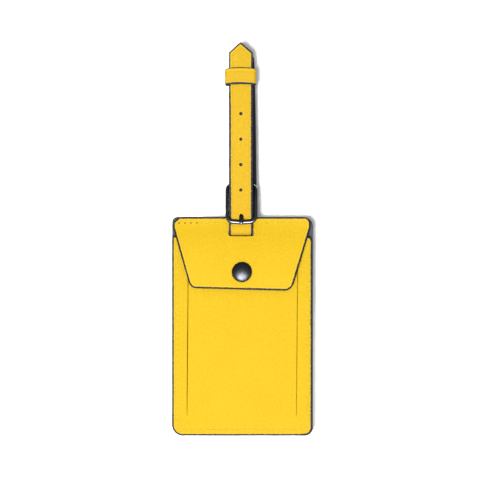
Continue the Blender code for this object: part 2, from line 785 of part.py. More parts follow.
def build():
    clear_scene()
    b = Builder()
    yellow = make_material("yellow_leather", (0.945, 0.600, 0.030), 0.62)
    dark = make_material("dark_lining", (0.085, 0.088, 0.115), 0.85)
    board = make_material("grey_board", (0.42, 0.39, 0.34), 0.9)
    paper = make_material("white_card", (0.88, 0.87, 0.83), 0.75)
    thread = make_material("yellow_thread", (0.900, 0.560, 0.040), 0.7)
    metal = make_material("black_metal", (0.035, 0.035, 0.042), 0.28, 1.0)

    tag_pieces = build_tag_body(b, yellow, dark, board)
    tag_pieces.append(build_yoke(b, yellow))
    tag_pieces += build_threads(b, thread)
    flap_pieces = build_flap(b, yellow, dark)
    snap_on_flap, snap_on_pocket = build_snap(b, metal)
    card = build_card(b, paper)

    build_strap_loop(b, yellow)
    throat = build_strap_throat(b, yellow)
    tail = build_strap_tail(b, yellow)
    punch_strap(b, throat, tail)
    build_rivet(b, metal)
    keeper = build_keeper(b, yellow)
    frame = build_frame(b, metal)
    prong = build_prong(b, metal)

    swing = b.pivot("tag_swing_axis", (0, -TURN_DEPTH, TURN_Z))
    crease = b.pivot("flap_fold_axis", (0, -bowed_depth(FLAP_CREASE), FLAP_CREASE))
    hinge_bar = b.pivot("buckle_axis", (0, -BAR_DEPTH, BAR_Z))
    keeper_guide = b.pivot("keeper_slide_axis", (KEEPER_X, -TAIL_DEPTH, KEEPER_Z))
    card_guide = b.pivot("card_slide_axis", (TAG_X, -FRONT_DEPTH, CARD_BOTTOM))
    hang(crease, flap_pieces + snap_on_flap)
    hang(card_guide, [card])
    hang(keeper_guide, [keeper])
    hang(hinge_bar, [frame, prong])
    hang(swing, tag_pieces + snap_on_pocket + [crease, card_guide])
    for obj in bpy.data.objects:
        if obj.parent is None:
            obj.location -= Vector(BEARING_FACE)


build()
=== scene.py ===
"""Looks for the luggage tag: leather, lining, thread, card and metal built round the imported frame.

Lengths are in millimetres, measured from the centre of the strap's slot on the tag's rear face, and
become metres in the row frame when a mesh is made. The tag's front faces -Y, so a layer at a depth d
lies at y = -d.
"""

import json
import math

import bmesh
import bpy
import numpy as np
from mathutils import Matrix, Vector
from mathutils.geometry import delaunay_2d_cdt


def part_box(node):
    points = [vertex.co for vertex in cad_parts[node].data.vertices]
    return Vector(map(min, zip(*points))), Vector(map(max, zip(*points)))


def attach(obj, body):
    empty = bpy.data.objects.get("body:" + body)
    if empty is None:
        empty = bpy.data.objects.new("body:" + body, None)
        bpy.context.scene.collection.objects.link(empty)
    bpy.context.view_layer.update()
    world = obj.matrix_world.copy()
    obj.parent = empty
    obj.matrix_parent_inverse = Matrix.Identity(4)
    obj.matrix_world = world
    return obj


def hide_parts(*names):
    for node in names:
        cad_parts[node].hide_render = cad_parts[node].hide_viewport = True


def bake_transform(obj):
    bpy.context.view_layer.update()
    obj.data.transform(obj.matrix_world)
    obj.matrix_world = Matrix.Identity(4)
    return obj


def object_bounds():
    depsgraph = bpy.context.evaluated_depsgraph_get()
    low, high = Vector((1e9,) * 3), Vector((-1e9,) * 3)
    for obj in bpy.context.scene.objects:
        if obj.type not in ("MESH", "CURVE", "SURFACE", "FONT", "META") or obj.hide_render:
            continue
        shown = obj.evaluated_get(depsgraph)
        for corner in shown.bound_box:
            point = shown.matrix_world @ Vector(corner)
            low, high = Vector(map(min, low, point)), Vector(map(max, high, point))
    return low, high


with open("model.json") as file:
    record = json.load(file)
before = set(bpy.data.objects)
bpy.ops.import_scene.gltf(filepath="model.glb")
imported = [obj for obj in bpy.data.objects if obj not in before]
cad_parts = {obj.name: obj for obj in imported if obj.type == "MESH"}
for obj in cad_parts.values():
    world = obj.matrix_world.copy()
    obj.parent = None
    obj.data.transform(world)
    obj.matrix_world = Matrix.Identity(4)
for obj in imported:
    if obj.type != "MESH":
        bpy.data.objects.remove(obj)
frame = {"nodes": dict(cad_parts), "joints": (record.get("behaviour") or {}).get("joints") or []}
cad_low, cad_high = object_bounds()

MM = 0.001
TAG_X = 0.6                    # the tag's centre line, right of the slot's
TAG_TOP = 8.9                  # the tag's top edge, above the slot's centre


def node_box(node):
    low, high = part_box(node)
    return np.array(low) / MM, np.array(high) / MM


panel_low, panel_high = node_box("back_panel")
SLOT = np.array([(panel_low[0] + panel_high[0]) / 2 - TAG_X, panel_high[1], panel_high[2] - TAG_TOP])


def placed_box(node):
    """A CAD node's box, measured from the slot."""
    low, high = node_box(node)
    return low - SLOT, high - SLOT


def joint_place(name):
    found = next(j for j in frame["joints"] if j["name"] == name)
    return np.array(found["pos_m"]) / MM - SLOT


back_low, back_high = placed_box("back_panel")
front_low, front_high = placed_box("front_panel")
lining_low, lining_high = placed_box("back_lining")
cap_low, cap_high = placed_box("snap_cap")
tail_low, tail_high = placed_box("strap_tail")
keeper_low, keeper_high = placed_box("keeper_loop")
card_low, card_high = placed_box("address_card")
BAR = joint_place("buckle_pivot")

TAG_LEFT, TAG_RIGHT, TAG_BOTTOM = back_low[0], back_high[0], back_low[2]
TAG_RADII = (5.3, 4.0, 4.5, 2.5)       # bottom left, bottom right, top right, top left
BACK_THICK = -back_low[1]
FRONT_FACE = -front_low[1]
FRONT_BACK = -front_high[1]
MOUTH = front_high[2] + 1.3            # the pocket's upper edge, a little above the CAD's
SLIT_FROM_CENTRE = 27.2
SLIT_END = -89.3
SLOT_HALF, SLOT_LOW, SLOT_TOP = 6.2, -0.6, 1.9

LEATHER = 1.0                          # the flap's thickness
FLAP_HALF = 33.8
FLAP_BOTTOM = placed_box("flap_panel")[0][2]
FLAP_BOTTOM_HALF = 25.2
FLAP_SHOULDER = 3.5                    # where the flap's sides start to slope
FLAP_RADIUS = 68.0                     # of its bow over the snap
SNAP = ((cap_low[0] + cap_high[0]) / 2, (cap_low[2] + cap_high[2]) / 2)
YOKE_DEPTH = FRONT_BACK + LEATHER / 2
CREST = 6.7                            # the flap's depth at the snap
YOKE_STEP = 6.8                        # the height over which it steps forward from its seam

STRAP_X = (tail_low[0] + tail_high[0]) / 2
STRAP_LEFT, STRAP_RIGHT = tail_low[0] - 0.12, tail_high[0] + 0.25     # the edge paint stands proud
STRAP_THICK = tail_high[1] - tail_low[1]
TAIL_DEPTH = -(tail_low[1] + tail_high[1]) / 2
TAIL_FROM = tail_low[2]
STRAP_POINT = 90.5                     # where its sides start to taper
MIDDLE_DEPTH = 3.8                     # of the run behind the tail
TURN = (-1.7, 3.6, 3.5)                # centre y, centre z and radius of the turn in the slot
TOP_FOLD = (-1.2, 86.8, 2.6)           # the same of the fold at the top
THROAT_SPLIT = 15.5                    # the height where the throat's two bends meet
HOLES = (22.3, 34.9, 47.55, 60.2)
HOLE_RADIUS = 0.64
HOLE_PITCH = HOLES[1] - HOLES[0]
HOLE_PAINT = 0.17
WIRE = 0.85                            # the buckle wire's radius
WIRE_EXTRA = 0.24                      # added to it along the lower bar
KEEPER_CROWN = 0.65                    # the keeper's ends sit this much lower than its middle

PRESSED = 1.85                 # the crease's distance from a painted edge
FAR = 9.0                      # a distance from the edge that no mark on the leather reaches
GRID_GAP = 0.3                 # the least distance of a sheet's inner points from its borders
BULGE = 0.01                   # bows straight edges while a sheet is triangulated, so no triangle is flat
BULGE_PIECES = 20              # an edge of more pieces than this is bowed more
BULGE_MOST = 24.0


# Outlines

class Outline:
    """A closed outline of straight edges and round corners that can be drawn again inside itself.

    Corners are (x, v, radius), anticlockwise. Each edge from a corner to the next is "painted",
    "raw", or "cut" where the leather carries on in a neighbouring piece.
    """

    def __init__(self, corners, kinds=None, step=4.0, turns=6):
        self.corners = [(np.array(c[:2], float), c[2]) for c in corners]
        self.kinds = kinds or ["painted"] * len(corners)
        self.turns = turns
        count = len(corners)
        self.along = []
        for n in range(count):
            edge = self.corners[(n + 1) % count][0] - self.corners[n][0]
            self.along.append(edge / np.linalg.norm(edge))
        self.pieces = [1] * count
        for n in range(count):
            if self.kinds[n] == "cut":
                continue
            start, end = self.straight(0.0, n)
            self.pieces[n] = max(1, math.ceil(np.linalg.norm(end - start) / step))
        self.painted, self.cut = [], []
        for n in range(count):
            turns_here = self.turns if self.corners[n][1] > 0 else 0
            either = "painted" in (self.kinds[n - 1], self.kinds[n])
            self.painted += [either] * (turns_here + 1)
            self.cut += [False] * turns_here
            self.cut += [self.kinds[n] == "cut"] * self.pieces[n]
            self.painted += [self.kinds[n] == "painted"] * (self.pieces[n] - 1)

    def corner(self, inset, n):
        """The points of one corner at an inset."""
        place, radius = self.corners[n]
        before, after = self.along[n - 1], self.along[n]
        normal_before = np.array([-before[1], before[0]])
        normal_after = np.array([-after[1], after[0]])
        inset_before = 0.0 if self.kinds[n - 1] == "cut" else inset
        inset_after = 0.0 if self.kinds[n] == "cut" else inset
        across = normal_before[0] * normal_after[1] - normal_before[1] * normal_after[0]
        if abs(across) < 1e-6:
            moved = place + normal_before * inset_before
        else:
            moved = place + np.array([
                (inset_before * normal_after[1] - inset_after * normal_before[1]) / across,
                (inset_after * normal_before[0] - inset_before * normal_after[0]) / across,
            ])
        if radius <= 0:
            return [moved]
        side = 1.0 if across > 0 else -1.0
        here = max(radius - side * inset, 0.02)
        turn = math.acos(max(-1.0, min(1.0, float(before @ after))))
        centre = moved - before * here * math.tan(turn / 2) + normal_before * here * side
        points = []
        for step in range(self.turns + 1):
            angle = side * turn * step / self.turns
            spoke = -normal_before * here * side
            c, s = math.cos(angle), math.sin(angle)
            points.append(centre + np.array([spoke[0] * c - spoke[1] * s, spoke[0] * s + spoke[1] * c]))
        return points

    def straight(self, inset, n):
        return self.corner(inset, n)[-1], self.corner(inset, (n + 1) % len(self.corners))[0]

    def ring(self, inset=0.0, bulge=0.0):
        """The outline's points at an inset, its straight edges bowed outwards by a bulge."""
        points = []
        for n in range(len(self.corners)):
            points += self.corner(inset, n)
            start, end = self.straight(inset, n)
            out = np.array([self.along[n][1], -self.along[n][0]])
            out *= min(BULGE_MOST, max(1.0, (self.pieces[n] / BULGE_PIECES) ** 2))
            for step in range(1, self.pieces[n]):
                share = step / self.pieces[n]
                points.append(start + (end - start) * share + out * bulge * 4 * share * (1 - share))
        return np.array(points)


def circle(sides):
    angles = [2 * math.pi * n / sides for n in range(sides)]
    return [(math.cos(angle), math.sin(angle)) for angle in angles]


def disc(x, v, radius):
    return Outline([(x + radius * c, v + radius * s, 0) for c, s in circle(24)])


def block(x0, x1, v0, v1, radius, **settings):
    return Outline([(x0, v0, radius), (x1, v0, radius), (x1, v1, radius), (x0, v1, radius)], **settings)


def inside(points, ring):
    """Which points lie inside a closed ring."""
    x, y = points[:, 0][:, None], points[:, 1][:, None]
    x0, y0 = ring[:, 0][None], ring[:, 1][None]
    x1, y1 = np.roll(ring[:, 0], -1)[None], np.roll(ring[:, 1], -1)[None]
    spans = (y0 > y) != (y1 > y)
    rise = np.where(y1 == y0, 1e-12, y1 - y0)
    return (spans & (x < x0 + (x1 - x0) * (y - y0) / rise)).sum(1) % 2 == 1


def clear_of(point, ring, gap):
    """Whether a point keeps a distance from every edge of a closed ring."""
    start, along = ring, np.roll(ring, -1, 0) - ring
    share = np.clip(((point - start) * along).sum(1) / np.maximum((along ** 2).sum(1), 1e-12), 0, 1)
    return np.linalg.norm(start + along * share[:, None] - point, axis=1).min() > gap


def lengths(points):
    """How far along a line each of its points lies."""
    return np.concatenate([[0], np.cumsum(np.linalg.norm(np.diff(points, axis=0), axis=1))])


def edge_profile(thickness, reach, drop, after=()):
    """(distance from the edge, front height, back height) down a rounded edge and over what follows it."""
    half = thickness / 2
    profile = [(0.0, half - drop, -(half - drop))]
    for step in range(1, 6):
        angle = math.radians(18 * step)
        height = half - drop + drop * math.sin(angle)
        profile.append((reach * (1 - math.cos(angle)), height, -height))
    for distance, front, back in after:
        profile.append((distance, half + front, -half + back))
    return profile


# Meshes

def between(low, high):
    """A face for each point of two closed rows; a row of one point repeated is a tip."""
    faces = []
    for n in range(len(low)):
        m = (n + 1) % len(low)
        face = tuple(dict.fromkeys((low[n], low[m], high[m], high[n])))
        if len(face) > 2:
            faces.append(face)
    return faces


def new_object(name, data):
    obj = bpy.data.objects.new(name, data)
    bpy.context.scene.collection.objects.link(obj)
    return obj


def make_object(name, points, faces, materials, attributes=None, sharp=42.0, fill=True, weld=False, slots=None):
    """A mesh from millimetre points measured from the slot, its open cuts capped or welded."""
    mesh = bpy.data.meshes.new(name)
    mesh.from_pydata(((np.asarray(points) + SLOT) * MM).tolist(), [], faces)
    for key, values in (attributes or {}).items():
        layer = mesh.attributes.new(key, "FLOAT", "POINT")
        layer.data.foreach_set("value", np.asarray(values, np.float32))
    if slots is not None:
        mesh.polygons.foreach_set("material_index", slots)
    work = bmesh.new()
    work.from_mesh(mesh)
    bmesh.ops.delete(work, geom=[v for v in work.verts if not v.link_faces], context="VERTS")
    if weld:
        bmesh.ops.remove_doubles(work, verts=work.verts, dist=2e-6)
    elif fill:
        bmesh.ops.holes_fill(work, edges=[e for e in work.edges if e.is_boundary], sides=0)
    bmesh.ops.recalc_face_normals(work, faces=work.faces)
    work.to_mesh(mesh)
    work.free()
    mesh.shade_smooth()
    mesh.set_sharp_from_angle(angle=math.radians(sharp))
    for material in materials:
        mesh.materials.append(material)
    return new_object(name, mesh)


def sheet(name, outline, profile, place, material, holes=(), hole_profile=None, grid=None,
          relief=None, paint=0.5, weld=False):
    """A piece of leather cut to an outline: rounded edges, a front, a back, and holes through it."""
    points, faces, borders, rings = [], [], [], []
    for number, loop in enumerate([outline, *holes]):
        rows = profile if number == 0 else hole_profile
        sign = 1.0 if number == 0 else -1.0
        fronts, backs = [], []
        for distance, front, back in rows:
            ring = loop.ring(sign * distance)
            for side_rings, height, face_side in ((fronts, front, 1), (backs, back, -1)):
                side_rings.append(range(len(points), len(points) + len(ring)))
                for (x, v), painted in zip(ring, loop.painted):
                    points.append((x, v, height, distance, 1.0 if painted else 0.0, face_side, number))
        runs = [(fronts[n], fronts[n + 1]) for n in range(len(fronts) - 1)]
        runs += [(backs[n + 1], backs[n]) for n in range(len(backs) - 1)]
        for low, high in [*runs, (backs[0], fronts[0])]:
            faces += [face for face, cut in zip(between(low, high), loop.cut) if not cut]
        borders.append((fronts[-1], backs[-1]))
        rings.append(loop.ring(sign * rows[-1][0], sign * BULGE))
    flat, edges = [], []
    for ring in rings:
        start = len(flat)
        flat += [tuple(c) for c in ring]
        edges += [(start + n, start + (n + 1) % len(ring)) for n in range(len(ring))]
    extra = []
    if grid is not None:
        columns, rows = grid
        candidates = np.array([(x, v) for v in rows for x in columns], float)
        keep = inside(candidates, rings[0])
        for ring in rings[1:]:
            keep &= ~inside(candidates, ring)
        extra = [tuple(c) for c in candidates[keep] if all(clear_of(c, ring, GRID_GAP) for ring in rings)]
    verts, _, triangles, sources, _, _ = delaunay_2d_cdt(
        [Vector(p) for p in flat + extra], edges, [], 0, 1e-7
    )
    front_of = [i for fronts, _ in borders for i in fronts]
    back_of = [i for _, backs in borders for i in backs]
    for x, v in extra:
        front_of.append(len(points))
        back_of.append(len(points) + 1)
        points += [(x, v, profile[-1][1], FAR, 0.0, 1, 0), (x, v, profile[-1][2], FAR, 0.0, -1, 0)]
    centres = np.array([np.mean([verts[i] for i in t], axis=0) for t in triangles])
    keep = inside(centres, rings[0])
    for ring in rings[1:]:
        keep &= ~inside(centres, ring)
    for n in np.nonzero(keep)[0]:
        corners = [sources[i][0] for i in triangles[n]]
        faces.append(tuple(front_of[i] for i in corners))
        faces.append(tuple(back_of[i] for i in reversed(corners)))
    data = np.array(points, float)
    x, v, height, distance, painted, face_side, hole = data.T
    if relief is not None:
        height = height + relief(x, v, distance, face_side)
    width = paint(x, v) if callable(paint) else np.full(len(x), float(paint))
    attributes = {
        "edge": np.where((painted > 0.5) & (hole == 0), distance, FAR),
        "rim": np.where(painted > 0.5, distance / np.where(hole > 0, HOLE_PAINT, width), FAR),
        "back": np.where(face_side < 0, 1.0, 0.0),
    }
    return make_object(name, place(x, v, height), faces, [material], attributes, weld=weld)


def flat_at(depth):
    """Places a sheet parallel to the tag with its middle plane at a depth."""
    return lambda x, z, h: np.stack([x, -(depth + h), z], 1)


def on_back(x, z, h):
    """Places stitches on the tag's rear face."""
    return np.stack([x, h, z], 1)


class Path:
    """A curve in the (y, z) plane, measured along its length. Its face is on the right going along it."""

    def __init__(self, points):
        points = np.array(points, float)
        keep = [0] + [n for n in range(1, len(points)) if np.linalg.norm(points[n] - points[n - 1]) > 1e-6]
        points = points[keep]
        length = lengths(points)
        self.s = np.linspace(0, length[-1], int(length[-1] / 0.1) + 2)
        self.y = np.interp(self.s, length, points[:, 0])
        self.z = np.interp(self.s, length, points[:, 1])
        dy, dz = np.gradient(self.y, self.s), np.gradient(self.z, self.s)
        kernel = np.ones(7) / 7
        dy = np.convolve(np.pad(dy, 3, "edge"), kernel, "valid")
        dz = np.convolve(np.pad(dz, 3, "edge"), kernel, "valid")
        size = np.hypot(dy, dz)
        self.ny, self.nz = dz / size, -dy / size
        self.length = float(length[-1])

    def crossing(self, z, after=0.0):
        """The first length past another at which the curve passes a height."""
        above = self.z > z
        passed = (above[1:] != above[:-1]) & (self.s[1:] > after)
        return float(self.s[1:][passed][0]) if passed.any() else self.length

    def place(self, face=1.0):
        def put(x, s, h):
            y = np.interp(s, self.s, self.y) + np.interp(s, self.s, self.ny) * h * face
            z = np.interp(s, self.s, self.z) + np.interp(s, self.s, self.nz) * h * face
            return np.stack([x + lean(y, z), y, z], 1)
        return put


def lean(y, z):
    """The rear run leans to the right, level with the slot and the top."""
    rising = np.clip(z / 14.0, 0, 1)
    falling = np.clip((TOP_FOLD[1] + 4.0 - z) / 66.0, 0, 1)
    behind = np.clip((y - 0.5) / 0.6, 0, 1)
    return smooth(rising, 1.9) * falling ** 0.35 * behind


def smooth(t, size=1.0):
    """Rises from 0 to a size, level at both ends, as t goes from 0 to 1."""
    return size * t * t * (3 - 2 * t)


def arc(centre, radius, start, end, steps=24):
    angles = np.radians(np.linspace(start, end, steps + 1))
    return [(centre[0] + radius * math.cos(a), centre[1] + radius * math.sin(a)) for a in angles]


def ease(start, end, steps=24):
    """A line that leaves one point and meets the other upright."""
    shares = [n / steps for n in range(steps + 1)]
    return [(start[0] + smooth(t, end[0] - start[0]), start[1] + (end[1] - start[1]) * t) for t in shares]


def flap_depth(z):
    """Depth of the flap's middle: sewn flat at the top, stepping forward, then bowed over the snap."""
    def bowed(h):
        return CREST - (FLAP_RADIUS - np.sqrt(FLAP_RADIUS ** 2 - (h - SNAP[1]) ** 2))
    slope = (bowed(0.0) - bowed(-0.5)) / 0.5
    t = np.clip(z / YOKE_STEP, 0, 1)
    stepped = (
        bowed(0.0) * (2 * t ** 3 - 3 * t ** 2 + 1)
        + slope * YOKE_STEP * (t ** 3 - 2 * t ** 2 + t)
        + YOKE_DEPTH * (3 * t ** 2 - 2 * t ** 3)
    )
    return np.where(z > 0, stepped, bowed(np.minimum(z, 0.0)))


def flap_place(offset=0.0):
    def put(x, z, h):
        slope = (flap_depth(z + 0.05) - flap_depth(z - 0.05)) / 0.1
        size = np.sqrt(1 + slope ** 2)
        return np.stack([x, -flap_depth(z) - (h + offset) / size, z - (h + offset) * slope / size], 1)
    return put


def tube(name, path, radii, material, closed=False, sides=20, spread=1.0):
    """A round wire along points, its radius given at each, closed or capped; a spread widens it along X."""
    path = np.array(path, float)
    tangent = np.roll(path, -1, 0) - np.roll(path, 1, 0) if closed else np.gradient(path, axis=0)
    tangent /= np.linalg.norm(tangent, axis=1)[:, None]
    points, faces, rows = [], [], []
    for here, ahead, radius in zip(path, tangent, radii):
        across = np.cross(ahead, (1.0, 0.0, 0.0) if spread != 1.0 else (0.0, 1.0, 0.0))
        across /= np.linalg.norm(across)
        other = np.cross(ahead, across)
        rows.append(range(len(points), len(points) + sides))
        points += [here + (across * c + other * s * spread) * radius for c, s in circle(sides)]
    for n in range(len(rows) if closed else len(rows) - 1):
        faces += between(rows[n], rows[(n + 1) % len(rows)])
    if not closed:
        faces += [tuple(rows[0]), tuple(rows[-1])]
    return make_object(name, points, faces, [material], sharp=60)


def spline(points, step=0.15):
    """A smooth curve through 3-D points."""
    points = np.array(points, float)
    ends = np.vstack([2 * points[0] - points[1], points, 2 * points[-1] - points[-2]])
    result = []
    for n in range(1, len(ends) - 2):
        p0, p1, p2, p3 = ends[n - 1:n + 3]
        count = max(1, int(np.linalg.norm(p2 - p1) / step))
        for k in range(count):
            t = k / count
            result.append(0.5 * (
                2 * p1 + (p2 - p0) * t + (2 * p0 - 5 * p1 + 4 * p2 - p3) * t * t
                + (3 * p1 - p0 - 3 * p2 + p3) * t ** 3
            ))
    result.append(points[-1])
    return np.array(result)


def lathe(name, profile, x, z, material, sides=72):
    """A round piece on an axis along Y, from (radius, depth) points in order along its surface."""
    points, faces, rows = [], [], []
    for radius, depth in profile:
        if radius == 0:
            rows.append([len(points)] * sides)
            points.append((x, -depth, z))
        else:
            rows.append(range(len(points), len(points) + sides))
            points += [(x + radius * c, -depth, z + radius * s) for c, s in circle(sides)]
    pairs = list(zip(rows, rows[1:]))
    if profile[0][0] > 0:
        pairs.append((rows[-1], rows[0]))
    for low, high in pairs:
        faces += between(low, high)
    return make_object(name, points, faces, [material], sharp=35)


STITCH_PITCH = 2.9
STITCH_GAP = 1.0
THREAD = 0.28                          # the thread's radius
THREAD_LIFT = 0.03
TORN_HOLE = 0.41                       # the radius of a needle hole torn open


def stitches(name, run, place, lift, torn=0):
    """A row of two-ply stitches along an (x, z) run, and the needle holes between them as flat discs of painted
    shade.

    The first few holes of a row may be torn wide open.
    """
    run = np.array(run, float)
    length = lengths(run)
    count = round(length[-1] / STITCH_PITCH)
    pitch = length[-1] / count
    sides, rings = 8, 11
    points, faces, slots = [], [], []

    def at(s):
        return np.array([np.interp(s, length, run[:, 0]), np.interp(s, length, run[:, 1])])

    for n in range(count):
        rows = []
        for t in np.arange(rings) / (rings - 1):
            s = n * pitch + STITCH_GAP / 2 + (pitch - STITCH_GAP) * t
            x, z = at(s)
            ahead = at(s + 0.1) - at(s - 0.1)
            ahead /= np.linalg.norm(ahead)
            bury = abs(2 * t - 1) ** 5
            thin = 1.0 - 0.55 * bury
            slant = 0.12 * (t - 0.5)
            rows.append(range(len(points), len(points) + sides))
            for side in range(sides):
                angle = 2 * math.pi * side / sides
                ply = 1.0 + 0.13 * math.cos(2 * angle + 7.5 * s)
                radius = THREAD * thin * ply
                across = math.cos(angle) * radius + slant
                height = lift + math.sin(angle) * radius * 0.55 - 0.30 * bury + THREAD_LIFT
                points.append((x - ahead[1] * across, z + ahead[0] * across, height))
        for low, high in zip(rows, rows[1:]):
            faces += between(low, high)
        faces += [tuple(rows[0]), tuple(rows[-1])]
    slots += [0] * len(faces)
    # Each needle hole is a flat disc of painted shade.
    for n in range(count + 1):
        x, z = at(min(n * pitch, length[-1]))
        level = abs(at(min(n * pitch + 0.1, length[-1]))[0] - at(max(n * pitch - 0.1, 0.0))[0])
        pulled, height = 0.16 + 0.17 * min(1.0, level * 5), lift - 0.6 * THREAD + THREAD_LIFT
        if n < torn:
            pulled, height = TORN_HOLE, 0.05
        faces.append(tuple(range(len(points), len(points) + 10)))
        points += [(x + pulled * c, z + pulled * s, height) for c, s in circle(10)]
        slots.append(1)
    place_at = place(*np.array(points).T)
    return make_object(name, place_at, faces, [thread, needle_hole_shade], sharp=80, fill=False, slots=slots)


# Materials

class Nodes:
    """A node tree. An input is fed a number, a colour, another node or one of its outputs."""

    def __init__(self, tree):
        self.tree = tree

    def feed(self, socket, value):
        if isinstance(value, bpy.types.Node):
            value = value.outputs[0]
        if isinstance(value, bpy.types.NodeSocket):
            self.tree.links.new(value, socket)
        elif isinstance(value, tuple) and len(value) == 3 and socket.type == "RGBA":
            socket.default_value = (*value, 1.0)
        else:
            socket.default_value = value

    def node(self, kind, inputs=None, **settings):
        made = self.tree.nodes.new("ShaderNode" + kind)
        for key, value in settings.items():
            setattr(made, key, value)
        for key, value in (inputs or {}).items():
            self.feed(made.inputs[key], value)
        return made


class Shader(Nodes):
    """A material of nodes placed by the object's own coordinates."""

    def __init__(self, name):
        self.material = bpy.data.materials.new(name)
        self.material.use_nodes = True
        super().__init__(self.material.node_tree)
        self.surface = self.tree.nodes["Principled BSDF"]
        self.place = self.node("TexCoord").outputs["Object"]

    def noise(self, scale, detail=3.0, rough=0.55, where=None):
        inputs = {"Vector": where or self.place, "Scale": scale, "Detail": detail, "Roughness": rough}
        return self.node("TexNoise", inputs).outputs["Fac"]

    def axes(self, vector=None):
        return self.node("SeparateXYZ", {"Vector": vector or self.place}).outputs

    def maths(self, operation, a, b=0.0, clamp=False):
        return self.node("Math", {0: a, 1: b}, operation=operation, use_clamp=clamp).outputs[0]

    def add(self, a, b):
        return self.maths("ADD", a, b)

    def times(self, a, b):
        return self.maths("MULTIPLY", a, b)

    def from_line(self, value, line):
        """How far a value is from a line's, either way."""
        return self.maths("ABSOLUTE", self.maths("SUBTRACT", value, line))

    def remap(self, value, low, high, out_low=0.0, out_high=1.0):
        inputs = {"Value": value, "From Min": low, "From Max": high, "To Min": out_low, "To Max": out_high}
        return self.node("MapRange", inputs).outputs["Result"]

    def mix(self, share, a, b):
        return self.node("Mix", {"Factor": share, 6: a, 7: b}, data_type="RGBA").outputs[2]

    def blend(self, share, a, b):
        return self.node("Mix", {"Factor": share, 2: a, 3: b}, data_type="FLOAT").outputs[0]

    def attribute(self, name):
        return self.node("Attribute", attribute_name=name).outputs["Fac"]

    def bump(self, height, depth_mm, strength=1.0, **inputs):
        inputs = {"Height": height, "Distance": depth_mm * MM, "Strength": strength, **inputs}
        return self.node("Bump", inputs).outputs["Normal"]

    def finish(self, colour, roughness, normal, metal=0.0, specular=0.5):
        inputs = {
            "Base Color": colour, "Roughness": roughness, "Metallic": metal, "Specular IOR Level": specular,
            "Normal": normal,
        }
        for key, value in inputs.items():
            self.feed(self.surface.inputs[key], value)
        return self.material


YELLOW = (0.945, 0.612, 0.019)
YELLOW_DEEP = (0.895, 0.540, 0.013)
YELLOW_LIGHT = (0.985, 0.690, 0.034)
PAINT = (0.020, 0.021, 0.031)
PAINT_LIGHT = (0.040, 0.042, 0.058)
STRAP_PAINT = (0.034, 0.035, 0.052)
STRAP_PAINT_LIGHT = (0.066, 0.068, 0.094)


def leather(name, crease, backed_with_hole_shadows=False, shade=(1.0, 1.0, 1.0), paint=(PAINT, PAINT_LIGHT)):
    """Fine-grained leather with painted edges; the crease is a line pressed just inside them."""
    s = Shader(name)
    deep, plain, light = (tuple(np.multiply(c, shade).tolist()) for c in (YELLOW_DEEP, YELLOW, YELLOW_LIGHT))
    clouds = s.noise(60.0, 2.0)
    mottle = s.noise(1150.0, 3.0, 0.6)
    specks = s.noise(420.0, 4.0, 0.7)
    colour = s.mix(s.remap(clouds, 0.35, 0.65, 0.0, 0.25), plain, light)
    colour = s.mix(s.remap(mottle, 0.40, 0.66, 0.0, 0.75), colour, deep)
    colour = s.mix(s.remap(mottle, 0.45, 0.30, 0.0, 0.60), colour, light)
    colour = s.mix(s.remap(specks, 0.55, 0.75, 0.0, 0.40), colour, deep)
    edge = s.attribute("edge")
    rim = s.attribute("rim")
    colour = s.mix(s.remap(s.from_line(edge, PRESSED), 0.0, 0.30, crease, 0.0), colour, (0.66, 0.38, 0.008))
    colour = s.mix(s.remap(s.from_line(edge, 1.15), 0.30, 0.60, 0.65, 0.0), colour, light)
    ragged = s.add(rim, s.remap(s.noise(1100.0, 2.0), 0.3, 0.7, -0.13, 0.13))
    painted = s.remap(ragged, 1.10, 0.94)
    colour = s.mix(s.remap(rim, 1.0, 1.7, 0.25, 0.0), colour, (0.55, 0.30, 0.02))
    colour = s.mix(painted, colour, s.mix(s.remap(s.noise(900.0), 0.35, 0.7), *paint))
    cover = painted
    # A dark suede back, and painted shadow on the run behind the strap's holes.
    if backed_with_hole_shadows:
        back = s.remap(s.attribute("back"), 0.42, 0.58)
        suede = s.mix(s.noise(1800.0, 4.0, 0.7), (0.030, 0.030, 0.038), (0.060, 0.060, 0.075))
        colour = s.mix(back, colour, suede)
        cover = s.maths("MAXIMUM", painted, back)
        # painted shadow behind each of the strap's holes
        colour = s.mix(hole_shadow_spots(s), colour, (0.085, 0.086, 0.118))
    pores = s.node("TexVoronoi", {"Vector": s.place, "Scale": 1900.0, "Smoothness": 0.5}, feature="SMOOTH_F1")
    grain = s.add(s.times(pores.outputs["Distance"], 0.7), s.times(s.noise(4200.0, 2.0), 0.45))
    soft = s.bump(s.noise(260.0), 0.10, 0.30)
    fine = s.bump(grain, 0.035, s.blend(painted, 0.55, 0.12), Normal=soft)
    rough = s.remap(s.noise(1400.0), 0.3, 0.7, 0.60, 0.76)
    rough = s.blend(cover, rough, s.remap(s.noise(700.0), 0.3, 0.7, 0.40, 0.60))
    return s.finish(colour, rough, fine, specular=0.10)


def hole_shadow_spots(s):
    """Painted shadow: dark spots on the run that lies behind the strap's holes, so that the holes look dark."""
    x, y, z = s.axes()
    across = s.maths("SUBTRACT", x, float((STRAP_X + SLOT[0]) * MM))
    start = float((HOLES[0] + SLOT[2] - HOLE_PITCH / 2) * MM)
    row = s.maths("DIVIDE", s.maths("SUBTRACT", z, start), HOLE_PITCH * MM)
    along = s.times(s.maths("SUBTRACT", s.maths("FRACT", row), 0.5), HOLE_PITCH * MM)
    apart = s.maths("SQRT", s.add(s.times(across, across), s.times(along, along)))
    spot = s.remap(apart, 0.0010, 0.0008)
    front = s.maths("LESS_THAN", y, float((-MIDDLE_DEPTH - 0.45 + SLOT[1]) * MM))
    behind = s.maths("GREATER_THAN", y, float((-MIDDLE_DEPTH - 0.75 + SLOT[1]) * MM))
    return s.times(spot, s.times(front, behind))


